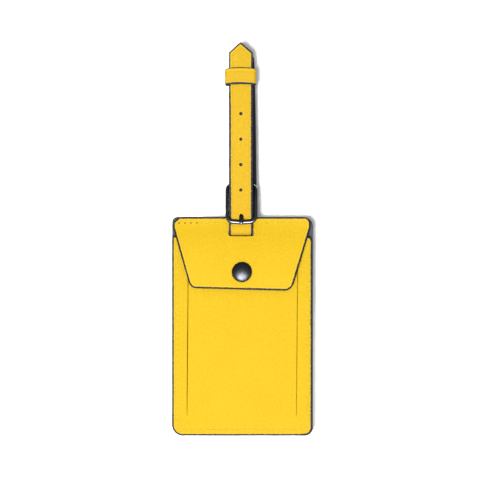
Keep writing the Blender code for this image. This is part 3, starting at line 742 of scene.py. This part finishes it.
def lining_cloth(name, colour, light):
    """A close woven lining: threads crossing, each with its own shade."""
    s = Shader(name)
    x, _, z = s.axes()
    pitch = 2 * math.pi / (0.42 * MM)
    warp = s.maths("SINE", s.times(x, pitch))
    weave = s.times(warp, s.maths("SINE", s.times(z, pitch)))
    shade = s.remap(s.add(s.times(weave, 0.4), s.noise(1500.0)), 0.2, 0.9)
    worn = s.remap(s.attribute("rim"), 0.0, 2.0, 0.35, 0.0)
    tone = s.mix(worn, s.mix(shade, colour, light), light)
    normal = s.bump(s.add(s.times(weave, 0.5), s.noise(3000.0)), 0.05, 0.7)
    return s.finish(tone, s.remap(shade, 0.0, 1.0, 0.92, 0.78), normal, specular=0.25)


def black_nickel(name, roughness, colour):
    """Plated black metal, lighter where it has been rubbed."""
    s = Shader(name)
    cloud = s.noise(420.0, 4.0, 0.6)
    drawn = {"Vector": s.place, "Scale": (2600.0, 2600.0, 260.0), "Rotation": (0.3, 0.2, 0.5)}
    lines = s.noise(1.0, 2.0, 0.5, s.node("Mapping", drawn).outputs["Vector"])
    tone = s.mix(s.remap(cloud, 0.35, 0.7), colour, tuple(c * 0.72 for c in colour))
    rough = s.remap(cloud, 0.3, 0.7, roughness * 0.8, roughness * 1.25)
    rough = s.add(rough, s.remap(lines, 0.6, 0.8, 0.0, 0.10))
    normal = s.bump(s.add(s.noise(900.0, 2.0), s.times(lines, 0.4)), 0.01, 0.35)
    return s.finish(tone, rough, normal, metal=1.0)


def fibrous(name, scale, detail, tones, rough, depth, strength, specular=0.5, ruled=False):
    """A matte stuff of fibres of two tones: thread, card or board. Card has ruled writing lines."""
    s = Shader(name)
    fibres = s.noise(scale, *detail)
    tone = s.mix(s.remap(fibres, tones[0], 0.7), *tones[1:])
    if ruled:
        row = s.maths("FRACT", s.times(s.axes()["Z"], 1 / (9.0 * MM)))
        line = s.maths("LESS_THAN", row, 0.035)
        tone = s.mix(s.times(line, 0.55), tone, (0.30, 0.33, 0.40))
    return s.finish(tone, s.remap(fibres, 0.3, 0.7, *rough), s.bump(fibres, depth, strength), specular=specular)


# Painted shade: the colour of the flat discs that stand for the shade down in the needle holes.
def needle_hole_shade_material(name):
    s = Shader(name)
    tone = s.mix(s.noise(2500.0), (0.30, 0.13, 0.008), (0.42, 0.20, 0.010))
    return s.finish(tone, s.remap(s.noise(1800.0), 0.3, 0.7, 0.8, 0.95), s.bump(s.noise(3000.0), 0.04, 0.5))


strap_leather = leather(
    "strap_leather", crease=0.40, backed_with_hole_shadows=True, shade=(0.955, 0.920, 1.45), paint=(STRAP_PAINT, STRAP_PAINT_LIGHT),
)
panel_leather = leather("panel_leather", crease=0.22)
# The panel leather made lighter: painted light that makes up for the flap tilting away from the main lamp.
flap_leather = leather("flap_leather", crease=0.22, shade=(1.025, 1.010, 1.10))
dark_cloth = lining_cloth("dark_cloth", (0.085, 0.088, 0.105), (0.160, 0.165, 0.190))
metal_bright = black_nickel("black_nickel_gloss", 0.20, (0.165, 0.172, 0.205))
metal_satin = black_nickel("black_nickel_satin", 0.29, (0.085, 0.087, 0.097))
thread = fibrous(
    "waxed_thread", 5200.0, (3.0, 0.6), (0.35, (1.0, 0.78, 0.070), (0.98, 0.71, 0.040)), (0.6, 0.8), 0.03, 0.3, 0.06,
)
needle_hole_shade = needle_hole_shade_material("needle_hole_shade")
card_stock = fibrous(
    "card_stock", 1300.0, (5.0, 0.7), (0.35, (0.90, 0.89, 0.85), (0.82, 0.81, 0.76)), (0.7, 0.85), 0.02, 0.5,
    ruled=True,
)
board = fibrous(
    "fibre_board", 900.0, (6.0, 0.75), (0.3, (0.36, 0.33, 0.28), (0.50, 0.47, 0.40)), (0.82, 0.95), 0.06, 0.8,
)


def finish_piece(obj, slot_name, body, *nodes):
    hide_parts(*nodes)
    if body:
        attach(obj, body)


# The tag's panels and seams

def tag_corners(top, right_radius, left_radius, inset=0.0):
    left, right, low = TAG_LEFT + inset, TAG_RIGHT - inset, TAG_BOTTOM + inset
    return [
        (left, low, TAG_RADII[0]), (right, low, TAG_RADII[1]),
        (right, top - inset, right_radius), (left, top - inset, left_radius),
    ]


def tag_paint(x, z):
    """The edge paint is broader down the right side."""
    return np.where(x > TAG_RIGHT - 5.0, 1.12, 0.86)


def flap_paint(x, z):
    """The paint is broader along the bottom edge."""
    return np.where(z < FLAP_BOTTOM + 1.2, 0.98, 0.80)


def level(*distances):
    """The rows of an edge profile that only carry its flat face inwards."""
    return [(distance, 0.0, 0.0) for distance in distances]


SLOT_RIM = level(0.32, 0.6)


def build_tag():
    back = sheet(
        "back_leather", Outline(tag_corners(TAG_TOP, *TAG_RADII[2:]), step=3.0, turns=10),
        edge_profile(BACK_THICK, 0.40, 0.45, level(1.0, 1.6, 2.4)), flat_at(BACK_THICK / 2), panel_leather,
        [block(-SLOT_HALF - 0.2, SLOT_HALF + 0.2, SLOT_LOW - 0.3, SLOT_TOP + 0.9, 0.6)],
        edge_profile(BACK_THICK, 0.2, 0.25, SLOT_RIM), paint=tag_paint,
    )
    finish_piece(back, "yellow_leather", "tag", "back_panel")

    thick = lining_high[1] - lining_low[1]
    lining = sheet(
        "back_lining_cloth", Outline(tag_corners(TAG_TOP, *TAG_RADII[2:], inset=0.3), step=3.0, turns=10),
        edge_profile(thick, 0.12, 0.20), flat_at(-(lining_low[1] + lining_high[1]) / 2), dark_cloth,
        [block(-SLOT_HALF - 0.5, SLOT_HALF + 0.5, SLOT_LOW - 0.8, SLOT_TOP + 1.3, 0.6)],
        edge_profile(thick, 0.12, 0.20, SLOT_RIM), paint=0.4,
    )
    finish_piece(lining, "dark_lining", "tag", "back_lining")

    *corners, top_left = tag_corners(MOUTH, 2.6, 0.9)
    kinds = ["painted", "painted"]
    for x, wide in ((TAG_X + SLIT_FROM_CENTRE, 0.045), (TAG_X - SLIT_FROM_CENTRE, 0.10)):
        down = [
            (MOUTH, 0.08, 0.4, 0.3), (-30.0, 0.045, 0, 0.2), (-50.0, wide, 0, 0.0), (-66.0, wide, 0, -0.1),
            (-79.0, wide / 2, 0, -0.2), (SLIT_END, 0.012, 0, -0.3),
        ]
        corners += [(x + shift + half, z, r) for z, half, r, shift in down]
        corners += [(x + shift - half, z, r) for z, half, r, shift in reversed(down)]
        kinds += ["painted"] + ["raw"] * 11
    columns = np.arange(TAG_LEFT + 4, TAG_RIGHT - 2, 6.0)
    rows = np.arange(TAG_BOTTOM + 4, TAG_TOP - 2, 6.0)
    front = sheet(
        "front_leather", Outline([*corners, top_left], [*kinds, "painted", "painted"], step=3.0, turns=8),
        edge_profile(FRONT_FACE - FRONT_BACK, 0.40, 0.50, [
            (0.9, 0.02, 0.0), (1.4, 0.02, 0.0), (1.6, 0.0, 0.0), (1.8, -0.04, 0.0), *level(2.0, 2.4),
        ]),
        flat_at((FRONT_FACE + FRONT_BACK) / 2), panel_leather, grid=(columns, rows[rows < MOUTH - 2]),
        paint=tag_paint,
    )
    finish_piece(front, "yellow_leather", "tag", "front_panel")


def build_flap():
    columns = np.arange(-32, 33, 4.0)
    rows = np.concatenate([
        np.arange(FLAP_BOTTOM + 1, -6.4, 1.2), np.arange(-6.4, 0.4, 0.4), np.arange(0.8, 8.6, 0.8),
    ])
    outline = Outline([
        (-FLAP_BOTTOM_HALF, FLAP_BOTTOM + 0.45, 4.2), (FLAP_BOTTOM_HALF - 0.5, FLAP_BOTTOM - 0.95, 4.4),
        (FLAP_HALF + 0.6, FLAP_SHOULDER, 2.0), (FLAP_HALF + 0.6, TAG_TOP - 2.0, 1.4), (FLAP_HALF - 1.3, TAG_TOP, 1.4),
        (-FLAP_HALF + 2.7, TAG_TOP, 0.5), (-FLAP_HALF, TAG_TOP - 2.7, 0.5), (-FLAP_HALF, FLAP_SHOULDER, 2.0),
    ], step=0.6, turns=8)
    slot = Outline([
        (-SLOT_HALF, SLOT_LOW, 1.1), (SLOT_HALF, SLOT_LOW, 1.1),
        (SLOT_HALF, SLOT_TOP, 0.3), (-SLOT_HALF, SLOT_TOP, 0.3),
    ])
    flap = sheet(
        "flap_leather", outline, edge_profile(LEATHER, 0.30, 0.40, level(0.8, 1.5, 2.3)), flap_place(), flap_leather,
        [slot], edge_profile(LEATHER, 0.2, 0.3, SLOT_RIM), (columns, rows), paint=flap_paint,
    )
    finish_piece(flap, "yellow_leather", None, "flap_yoke", "flap_panel")
    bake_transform(flap)

    top = placed_box("flap_lining")[1][2]
    inset = 0.6
    half, low = FLAP_BOTTOM_HALF - inset, FLAP_BOTTOM + inset
    share = (FLAP_SHOULDER - top) / (FLAP_SHOULDER - FLAP_BOTTOM)
    half_top = FLAP_HALF - inset + (FLAP_BOTTOM_HALF - FLAP_HALF) * share
    lining = sheet(
        "flap_lining_cloth",
        Outline([
            (-half, low, 4.4), (half, low, 4.4), (half_top, top, 0.6), (-half_top, top, 0.6),
        ], step=0.8, turns=8),
        edge_profile(0.4, 0.1, 0.15), flap_place(-(LEATHER / 2 + 0.1 + 0.2)), dark_cloth,
        grid=(columns, rows[rows < top - 0.4]), paint=0.3,
    )
    finish_piece(lining, "dark_lining", "flap", "flap_lining")


def build_card():
    card = sheet(
        "card_paper", block(card_low[0] + 0.6, card_high[0] - 0.6, card_low[2], card_high[2], 1.5, step=6.0),
        edge_profile(card_high[1] - card_low[1], 0.04, 0.05), flat_at(-(card_low[1] + card_high[1]) / 2),
        card_stock, paint=0.01,
    )
    finish_piece(card, "white_card", "card", "address_card")


def build_seams():
    inset, turn = 2.8, 2.5
    left, right = TAG_LEFT + inset, TAG_RIGHT - inset
    low, high = TAG_BOTTOM + inset, MOUTH - 1.5
    pocket_run = [(left, high), *arc((left + turn, low + turn), turn, 180, 270, 8)]
    pocket_run += [*arc((right - turn, low + turn), turn, 270, 360, 8), (right, high)]
    flap_run = [(-30.9, 5.88), (31.1, 5.88)]
    front, back = 0.0875, 0.15             # how far the thread stands off each side
    for name, run, place, lift, torn, node in (
        ("pocket_stitches_front", pocket_run, flat_at(FRONT_FACE), front, 0, "pocket_seam_needle_thread"),
        ("pocket_stitches_back", pocket_run, on_back, back, 0, "pocket_seam_bobbin_thread"),
        ("flap_stitches_front", flap_run, flap_place(LEATHER / 2), front, 4, "flap_seam_needle_thread"),
        ("flap_stitches_back", flap_run, on_back, back, 0, "flap_seam_bobbin_thread"),
    ):
        finish_piece(stitches(name, run, place, lift, torn), "yellow_thread", "tag", node)


# The press snap

def measured(face, *profile):
    """A profile whose depths were given from a face."""
    return [(radius, face + depth) for radius, depth in profile]


def build_snap():
    """The cap and socket are set in the flap, the stud and its post in the pocket's front."""
    top = -cap_low[1]
    lining_back = CREST - LEATHER / 2 - 0.5
    base = CREST + LEATHER / 2 + 0.1
    shoulder = base + 0.6
    dome = [(0.0, top)]
    for step in range(1, 13):
        angle = math.radians(90 - 7.5 * step)
        dome.append((5.0 * math.cos(angle), shoulder + (top - shoulder) * math.sin(angle)))
    cap = lathe("snap_cap_dome", dome + [
        (4.96, base + 0.35), (4.85, base + 0.12), (4.6, base), (1.1, base), (1.1, lining_back - 0.4),
        (0.0, lining_back - 0.4),
    ], *SNAP, metal_satin, sides=96)
    finish_piece(cap, "black_metal", "flap", "snap_cap")
    back = lining_back - 0.3
    seat = FRONT_FACE + 0.1
    flange = -placed_box("snap_post")[1][1]
    for name, body, node, profile in (
        ("snap_socket_ring", "flap", "snap_socket", measured(
            back, (1.3, 0.0), (3.95, 0.0), (4.1, -0.1), (4.1, -0.3), (3.95, -0.4), (3.5, -0.45), (3.35, -0.6),
            (3.3, -0.9), (3.15, -1.0), (2.5, -1.0), (2.38, -0.9), (2.3, -0.5), (2.2, -0.4), (1.3, -0.4),
        )),
        ("snap_stud_ball", "tag", "snap_stud", measured(
            seat, (0.9, 0.9), (1.5, 0.9), (1.75, 0.8), (1.88, 0.65), (1.88, 0.5), (1.75, 0.35), (1.72, 0.26),
            (1.9, 0.22), (3.3, 0.2), (3.5, 0.14), (3.6, 0.03), (3.55, 0.0), (0.9, 0.0),
        )),
        ("snap_post_flange", "tag", "snap_post", [
            *measured(seat, (0.0, 0.75), (0.4, 0.8), (0.7, 0.8), (0.8, 0.7)),
            *measured(flange, (0.8, 0.3), (3.0, 0.3), (3.1, 0.2), (3.1, 0.0), (0.0, 0.0)),
        ]),
    ):
        finish_piece(lathe(name, profile, *SNAP, metal_bright), "black_metal", body, node)


# The strap

STRAP_EDGE = edge_profile(STRAP_THICK, 0.40, 0.48, [
    (0.70, 0.01, -0.01), (1.30, 0.03, -0.03), (1.62, 0.0, 0.0), (PRESSED, -0.06, 0.0), (2.08, 0.0, 0.0),
])
HOLE_EDGE = edge_profile(STRAP_THICK, 0.14, 0.16, level(0.32, 0.5))


def strap_paint(x, v):
    return np.where(x > STRAP_X, 1.02, 0.95)


def strap_part(low, high):
    """A length of the strap that carries on at both ends."""
    return block(STRAP_LEFT, STRAP_RIGHT, low, high, 0, kinds=["cut", "painted"] * 2, step=0.6)


def build_strap():
    loop = Path(
        arc(TURN[:2], TURN[2], 270, 360)
        + ease((1.8, 12.0), (3.0, 42.0)) + ease((3.0, 62.0), (1.4, 86.8))
        + arc(TOP_FOLD[:2], TOP_FOLD[2], 0, 180)
        + arc((BAR[1], BAR[2]), 1.6, 180, 360)
        + ease((-0.6, BAR[2] + 0.6), (-2.4, BAR[2] + 6.2)) + [(-2.4, 38.0)]
    )
    past_top = loop.crossing(80.0, loop.crossing(80.0) + 5.0)
    notch_from = loop.crossing(BAR[2] + 1.2, past_top)
    notch_to = loop.crossing(BAR[2] + 1.2, notch_from + 2.0)
    eye_from = loop.crossing(BAR[2] + 2.6, past_top)
    eye_to = loop.crossing(BAR[2] + 2.6, notch_to)
    narrow = 4.2                           # the half width left inside the buckle
    end = loop.length
    outline = Outline([
        (STRAP_LEFT, 0.0, 0), (STRAP_RIGHT, 0.0, 0),
        (STRAP_RIGHT, notch_from, 0.8), (narrow, notch_from + 0.3, 0.8),
        (narrow, notch_to - 0.3, 0.8), (STRAP_RIGHT, notch_to, 0.8),
        (STRAP_RIGHT, end, 1.4), (STRAP_LEFT, end, 1.4),
        (STRAP_LEFT, notch_to, 0.8), (-narrow, notch_to - 0.3, 0.8),
        (-narrow, notch_from + 0.3, 0.8), (STRAP_LEFT, notch_from, 0.8),
    ], ["cut"] + ["painted"] * 11, step=0.7)
    eye = block(-1.25, 1.25, eye_from, eye_to, 1.1, step=0.7)
    fold_from = loop.crossing(TOP_FOLD[1] - 3.0, 30.0)
    rows = np.concatenate([
        np.arange(0.3, 12, 0.35), np.arange(12, fold_from - 1, 1.2), np.arange(fold_from - 1, fold_from + 16, 0.35),
        np.arange(fold_from + 16, eye_from - 3, 2.0), np.arange(eye_from - 3, end, 0.3),
    ])
    columns = np.arange(STRAP_LEFT + 2.6, STRAP_RIGHT - 2.2, 1.6)
    band = sheet(
        "strap_band", outline, STRAP_EDGE, loop.place(), strap_leather, [eye], HOLE_EDGE, (columns, rows),
        paint=strap_paint,
    )
    finish_piece(band, "yellow_leather", "strap", "strap_loop")

    rise = Path(arc(TURN[:2], TURN[2], 270, 180) + [(-TAIL_DEPTH, TAIL_FROM)])
    split = rise.crossing(THROAT_SPLIT)

    def up(z):
        """The length along the rising run at a height."""
        return TURN[2] * math.pi / 2 + z - TURN[1]

    def throat_paint(x, v):
        """The paint is broader beside the buckle's wire."""
        beside_wire = np.clip((v - up(4.0)) / 3.0, 0, 1) * np.clip((up(25.0) - v) / 3.0, 0, 1)
        return strap_paint(x, v) + np.where(x < STRAP_X, 0.12 * beside_wire, 0.0)

    def tail_paint(x, z):
        """The paint is narrower towards the tip."""
        return strap_paint(x, z) - np.where(x > STRAP_X, 0.10, 0.30) * np.clip((z - 60.0) / 20.0, 0, 1)

    prong_hole = block(-0.85, 0.85, up(7.8), up(10.35), 0.83, step=0.5)
    low = sheet(
        "strap_throat_lower", strap_part(0.0, split), STRAP_EDGE, rise.place(-1.0), strap_leather, [prong_hole],
        HOLE_EDGE, (columns, np.arange(0.3, split, 0.35)), paint=throat_paint,
    )
    finish_piece(low, "yellow_leather", None, "strap_throat")
    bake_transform(low)

    high = sheet(
        "strap_throat_upper", strap_part(split, rise.length), STRAP_EDGE, rise.place(-1.0), strap_leather,
        [disc(STRAP_X, up(HOLES[0]), HOLE_RADIUS)], HOLE_EDGE, (columns, np.arange(split + 0.5, rise.length, 0.6)),
        paint=throat_paint,
    )
    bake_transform(high)

    outline = Outline([
        (STRAP_LEFT, TAIL_FROM, 0), (STRAP_RIGHT, TAIL_FROM, 0), (STRAP_RIGHT, STRAP_POINT, 1.4),
        (STRAP_X, tail_high[2] + 0.3, 1.0), (STRAP_LEFT, STRAP_POINT, 1.4),
    ], ["cut"] + ["painted"] * 4, step=2.0)
    tail = sheet(
        "strap_tail_tip", outline, STRAP_EDGE, flat_at(TAIL_DEPTH), strap_leather,
        [disc(STRAP_X, z, HOLE_RADIUS) for z in HOLES[1:]], HOLE_EDGE, (columns, np.arange(TAIL_FROM + 1, 88, 3.0)),
        paint=tail_paint,
    )
    finish_piece(tail, "yellow_leather", "strap", "strap_tail")


def build_keeper():
    """A band of leather closed round the strap's two front runs."""
    thick, bend = 1.1, 1.15
    half = thick / 2
    left, right = keeper_low[0] - 0.22 + half, keeper_high[0] + 0.33 - half
    near, far = keeper_low[1], keeper_high[1]
    loop = block(left, right, near + half, far - half, bend, step=0.5, turns=8).ring()
    start = int(np.argmin(np.abs(loop[:, 0] - 1.0) + np.abs(loop[:, 1] - (far - half)) * 4))
    loop = np.roll(loop, -start, 0)
    loop = np.vstack([loop, loop[:1]])
    length = lengths(loop)
    tangent = np.gradient(loop, length, axis=0)
    tangent[0] = tangent[-1] = (tangent[0] + tangent[-1]) / 2
    tangent /= np.linalg.norm(tangent, axis=1)[:, None]

    def put(s, z, h):
        x, y = np.interp(s, length, loop[:, 0]), np.interp(s, length, loop[:, 1])
        nx, ny = np.interp(s, length, tangent[:, 1]), np.interp(s, length, -tangent[:, 0])
        in_front = np.clip((near + 2.5 - y) / 1.2, 0, 1)
        across = np.clip(np.abs(x - STRAP_X) / 7.1, 0, 1)
        crown = (0.30 * np.cos(across * math.pi / 2) + (KEEPER_CROWN - 0.30) * (1 - across ** 6)) * in_front
        return np.stack([x + nx * h, y + ny * h, z + crown - KEEPER_CROWN], 1)

    low, high = keeper_low[2], keeper_high[2]

    def relief(s, z, distance, side):
        """The front is worn down along the lower edge."""
        from_low = np.clip(1 - (z - low) / 0.95, 0, 1)
        return np.where(side > 0, -0.42 * from_low ** 1.2, 0.0)

    def paint(s, z):
        return np.where(z < (low + high) / 2, 0.95, 0.30)

    profile = edge_profile(thick, 0.30, 0.40, [
        (0.70, 0.01, 0.0), (1.30, 0.02, 0.0), (1.62, 0.0, 0.0), (1.85, -0.02, 0.0), (2.08, 0.0, 0.0),
    ])
    total = float(length[-1])
    keeper = sheet(
        "keeper_band", block(0.0, total, low, high, 0, kinds=["painted", "cut"] * 2, step=0.4), profile, put,
        strap_leather, grid=(np.arange(0.4, total, 0.4), np.arange(low + 2.4, high - 2.3, 1.2)),
        relief=relief, paint=paint, weld=True,
    )
    finish_piece(keeper, "yellow_leather", "keeper", "keeper_loop")


def build_buckle():
    x = 0.15
    half, low_z, low_depth = 7.1, 6.6, 6.9
    bar_depth = -BAR[1]
    flat = Outline([
        (x - half, low_z, 2.8), (x, low_z, 0), (x + half, low_z, 2.8),
        (x + half, BAR[2], 2.2), (x - half, BAR[2], 2.2),
    ], step=0.5, turns=14).ring()
    path, radii = [], []
    for px, pz in flat:
        down = (BAR[2] - pz) / (BAR[2] - low_z)
        forward = math.sin(down * math.pi / 2)
        bow = 0.5 * math.cos((px - x) / half * math.pi / 2) * max(down, 0.0) ** 6
        path.append((px, -(bar_depth + (low_depth - bar_depth) * forward), pz - bow + 0.25 * down ** 12))
        radii.append(WIRE + WIRE_EXTRA * max(down, 0.0) ** 12)
    wire = tube("buckle_wire_frame", path, radii, metal_bright, closed=True, sides=24)
    finish_piece(wire, "black_metal", "buckle", "buckle_frame")

    thick = 0.45
    eye = WIRE + 0.1 + thick
    over = low_depth + WIRE + 0.34 + thick
    low_z -= 0.4
    path = arc((BAR[1], BAR[2]), eye, -100, 180, 20)
    path = [(0, y, z) for y, z in path]
    shaft = bar_depth + eye
    path += [(0, -shaft, z) for z in (23.0, 20.5)] + [
        (0, -shaft, 17.5), (0, -shaft - 0.05, 12.6), (0, -shaft - 0.4, 10.7), (0, -over + 0.8, low_z + 1.75),
        (0, -over, low_z + 0.5), (0, -over, low_z - 0.65), (0, -over + 0.03, low_z - 0.9),
    ]
    path = spline(path, 0.12)
    remaining = lengths(path[::-1])[::-1]
    radii = thick * np.sqrt(np.clip(1 - np.clip(1 - remaining / 0.55, 0, 1) ** 2, 0.02, 1))
    prong = tube("buckle_prong_pin", path, radii, metal_bright, sides=20, spread=2.2)
    finish_piece(prong, "black_metal", "prong", "buckle_prong")


def build_rivet():
    post_low, post_high = placed_box("strap_rivet_post")
    rivet_cap_low, rivet_cap_high = placed_box("strap_rivet_cap")
    x, z = (post_low[0] + post_high[0]) / 2, (post_low[2] + post_high[2]) / 2
    tail, base = -post_high[1], -rivet_cap_high[1]
    post = measured(
        -post_low[1], (0.0, 0.0), (1.5, 0.0), (1.9, -0.04), (2.15, -0.13), (2.2, -0.2), (2.15, -0.3), (0.9, -0.3),
    )
    cap = measured(
        -rivet_cap_low[1], (0.0, -0.5), (1.0, -0.5), (1.0, 0.0), (2.3, 0.0), (2.4, -0.1), (2.38, -0.3),
        (2.1, -0.55), (1.5, -0.8), (0.8, -0.88),
    )
    for name, node, profile in (
        ("rivet_head", "strap_rivet_post", [*post, (0.9, tail), (0.0, tail)]),
        ("rivet_rear_cap", "strap_rivet_cap", [*cap, (0.0, base)]),
    ):
        finish_piece(lathe(name, profile, x, z, metal_bright, sides=48), "black_metal", "strap", node)


build_tag()
build_flap()
build_card()
build_seams()
build_snap()
build_strap()
build_keeper()
build_buckle()
build_rivet()

stiffener = frame["nodes"]["stiffener_board"]
stiffener.data.materials.clear()
stiffener.data.materials.append(board)


# Stage

FLOOR_GAP = 0.030                      # these lengths are in metres
WALL_CLOSE = 0.0018                    # the wall's distance behind the slot, at the tag's left
WALL_LEAN = 0.2                        # how fast it falls back below the slot
WALL_GAP = 0.028                       # its distance behind the strap's side
RAMP_FROM = -0.026                     # where the wall starts to lean back, across the tag
STRAP_SIDE_RAMP = 0.032                # and over what distance it does
SQUARE_ON = 0.965                      # the cosine of the widest angle at which the wall is seen


def stage_material(name, colour, glow, square_on=False):
    """White paper that the camera sees from its front only, and that hides nothing behind it.

    It glows more towards the tag's lower end, where the tag's shadow is fainter. Paper seen square on
    only is left out of every view from the side. Light that has bounced once already is stopped by it,
    so the space behind the object stays dark.
    """
    s = Shader(name)
    s.tree.nodes.remove(s.surface)
    strength = s.remap(s.axes()["Z"], (SLOT[2] + 12.0) * MM, (SLOT[2] - 60.0) * MM, *glow)
    lit = s.node("AddShader", {
        0: s.node("BsdfDiffuse", {"Color": colour}), 1: s.node("Emission", {"Color": colour, "Strength": strength}),
    })
    ray, side = s.node("LightPath").outputs, s.node("NewGeometry").outputs
    seen = s.maths("SUBTRACT", ray["Is Camera Ray"], side["Backfacing"], True)
    if square_on:
        seen = s.times(seen, s.maths("LESS_THAN", s.axes(side["Incoming"])["Y"], -SQUARE_ON))
    later = s.maths("GREATER_THAN", ray["Ray Depth"], 1.5)
    black = s.node("BsdfDiffuse", {"Color": (0.0, 0.0, 0.0)})
    hidden = s.node("MixShader", {0: later, 1: s.node("BsdfTransparent"), 2: black})
    shown = s.node("MixShader", {0: seen, 1: hidden, 2: lit})
    s.feed(s.tree.nodes["Material Output"].inputs["Surface"], shown)
    return s.material


def stage_plane(name, points, faces, material):
    mesh = bpy.data.meshes.new(name)
    mesh.from_pydata(points, [], faces)
    mesh.shade_smooth()
    mesh.materials.append(material)
    obj = new_object(name, mesh)
    return obj


def build_stage():
    """A floor, and a paper wall.

    The wall is close behind the tag's top left, further off behind the strap, and clear of the tag's
    lower end when it swings back.
    """
    floor_z = cad_low[2] - FLOOR_GAP
    reach = 3.0
    rear, level = SLOT[1] * MM, SLOT[2] * MM
    columns = [-reach, *(STRAP_SIDE_RAMP * (step / 32) + RAMP_FROM for step in range(33)), reach]
    rows = [reach, level, floor_z]
    points, faces = [], []
    for x in columns:
        share = smooth(min(1.0, max(0.0, (x - RAMP_FROM) / STRAP_SIDE_RAMP)))
        for z in rows:
            close = WALL_CLOSE + WALL_LEAN * max(0.0, level - z)
            points.append((x, rear + close + (WALL_GAP - close) * share, z))
    for column in range(len(columns) - 1):
        for row in range(len(rows) - 1):
            n = column * len(rows) + row
            faces.append((n, n + 1, n + 1 + len(rows), n + len(rows)))
    wall = stage_plane("backdrop", points, faces, stage_material(
        "backdrop_paper", (0.985, 0.992, 1.0), (0.10, 0.40), True,
    ))
    stage_plane("floor", [
        (-reach, -reach, floor_z), (reach, -reach, floor_z), (reach, reach, floor_z), (-reach, reach, floor_z),
    ], [(0, 1, 2, 3)], stage_material("floor_paper", (0.93, 0.93, 0.93), (0.30, 0.30)))
    return wall


def add_light(name, place, size, power, diffuse=True, glossy=True):
    """A round lamp aimed at the middle of the tag."""
    lamp = bpy.data.lights.new(name, "AREA")
    lamp.shape = "DISK"
    lamp.size = size
    lamp.energy = power
    obj = new_object(name, lamp)
    obj.location = place
    obj.rotation_mode = "QUATERNION"
    obj.rotation_quaternion = (centre - place).to_track_quat("-Z", "Y")
    obj.visible_diffuse = diffuse
    obj.visible_glossy = glossy
    return obj


def light_only(lamp, receiver, wanted):
    """Lets a lamp light one object only, or everything else."""
    group = bpy.data.collections.new(lamp.name + "_receivers")
    group.objects.link(receiver)
    lamp.light_linking.receiver_collection = group
    group.collection_objects[0].light_linking.link_state = "INCLUDE" if wanted else "EXCLUDE"


def build_world():
    """Even white light, but metal sees a dark studio with a bright table below."""
    world = bpy.data.worlds.new("studio")
    bpy.context.scene.world = world
    world.use_nodes = True
    world.node_tree.nodes.clear()
    w = Nodes(world.node_tree)
    seen = w.node("Background", {"Color": (1.0, 1.0, 1.0), "Strength": 1.0})
    ambient = w.node("Background", {"Color": (1.0, 1.0, 1.0), "Strength": 0.30})
    height = w.node("SeparateXYZ", {"Vector": w.node("TexCoord").outputs["Generated"]}).outputs["Z"]
    table = {"Value": height, "From Min": 0.05, "From Max": -0.55, "To Min": 0.20, "To Max": 0.60}
    table = w.node("MapRange", table, interpolation_type="SMOOTHSTEP")
    mirrored = w.node("Background", {"Color": (0.90, 0.93, 1.0), "Strength": table})
    path = w.node("LightPath").outputs
    unseen = w.node("MixShader", {0: path["Is Glossy Ray"], 1: ambient, 2: mirrored})
    w.node("OutputWorld", {"Surface": w.node("MixShader", {0: path["Is Camera Ray"], 1: unseen, 2: seen})})


def build_camera():
    """Square on to the tag's front; the picture is 480 by 480."""
    aim = (np.array([-0.6, -4.5, -2.5]) + SLOT) * MM
    width = 238.3 * MM                     # of the picture, at the point it is aimed at
    camera = bpy.data.cameras.new("camera")
    camera.sensor_width = 36.0
    camera.lens = 130.0
    distance = width / 2 / (camera.sensor_width / 2 / camera.lens)
    camera.clip_start, camera.clip_end = 0.05, 10.0
    obj = new_object("camera", camera)
    obj.location = (aim[0], aim[1] - distance, aim[2])
    obj.rotation_euler = (math.pi / 2, 0, 0)
    bpy.context.scene.camera = obj
    return obj


wall = build_stage()
build_world()
camera = build_camera()
centre = (cad_low + cad_high) / 2
key = add_light("key", centre + Vector((-0.44, -2.1, -0.52)), 0.42, 39.0, glossy=False)
add_light("glint", centre + Vector((0.0, -1.1, -0.56)), 0.85, 22.0, diffuse=False)
add_light("rear", centre + Vector((0.5, 1.3, 0.7)), 0.8, 14.0)
wall_light = add_light("wall_light", camera.location + Vector((-0.060, 0.0, -0.040)), 0.09, 12.5, glossy=False)
light_only(key, wall, False)
light_only(wall_light, wall, True)

scene = bpy.context.scene
scene.view_settings.view_transform = "Standard"
scene.view_settings.look = "None"
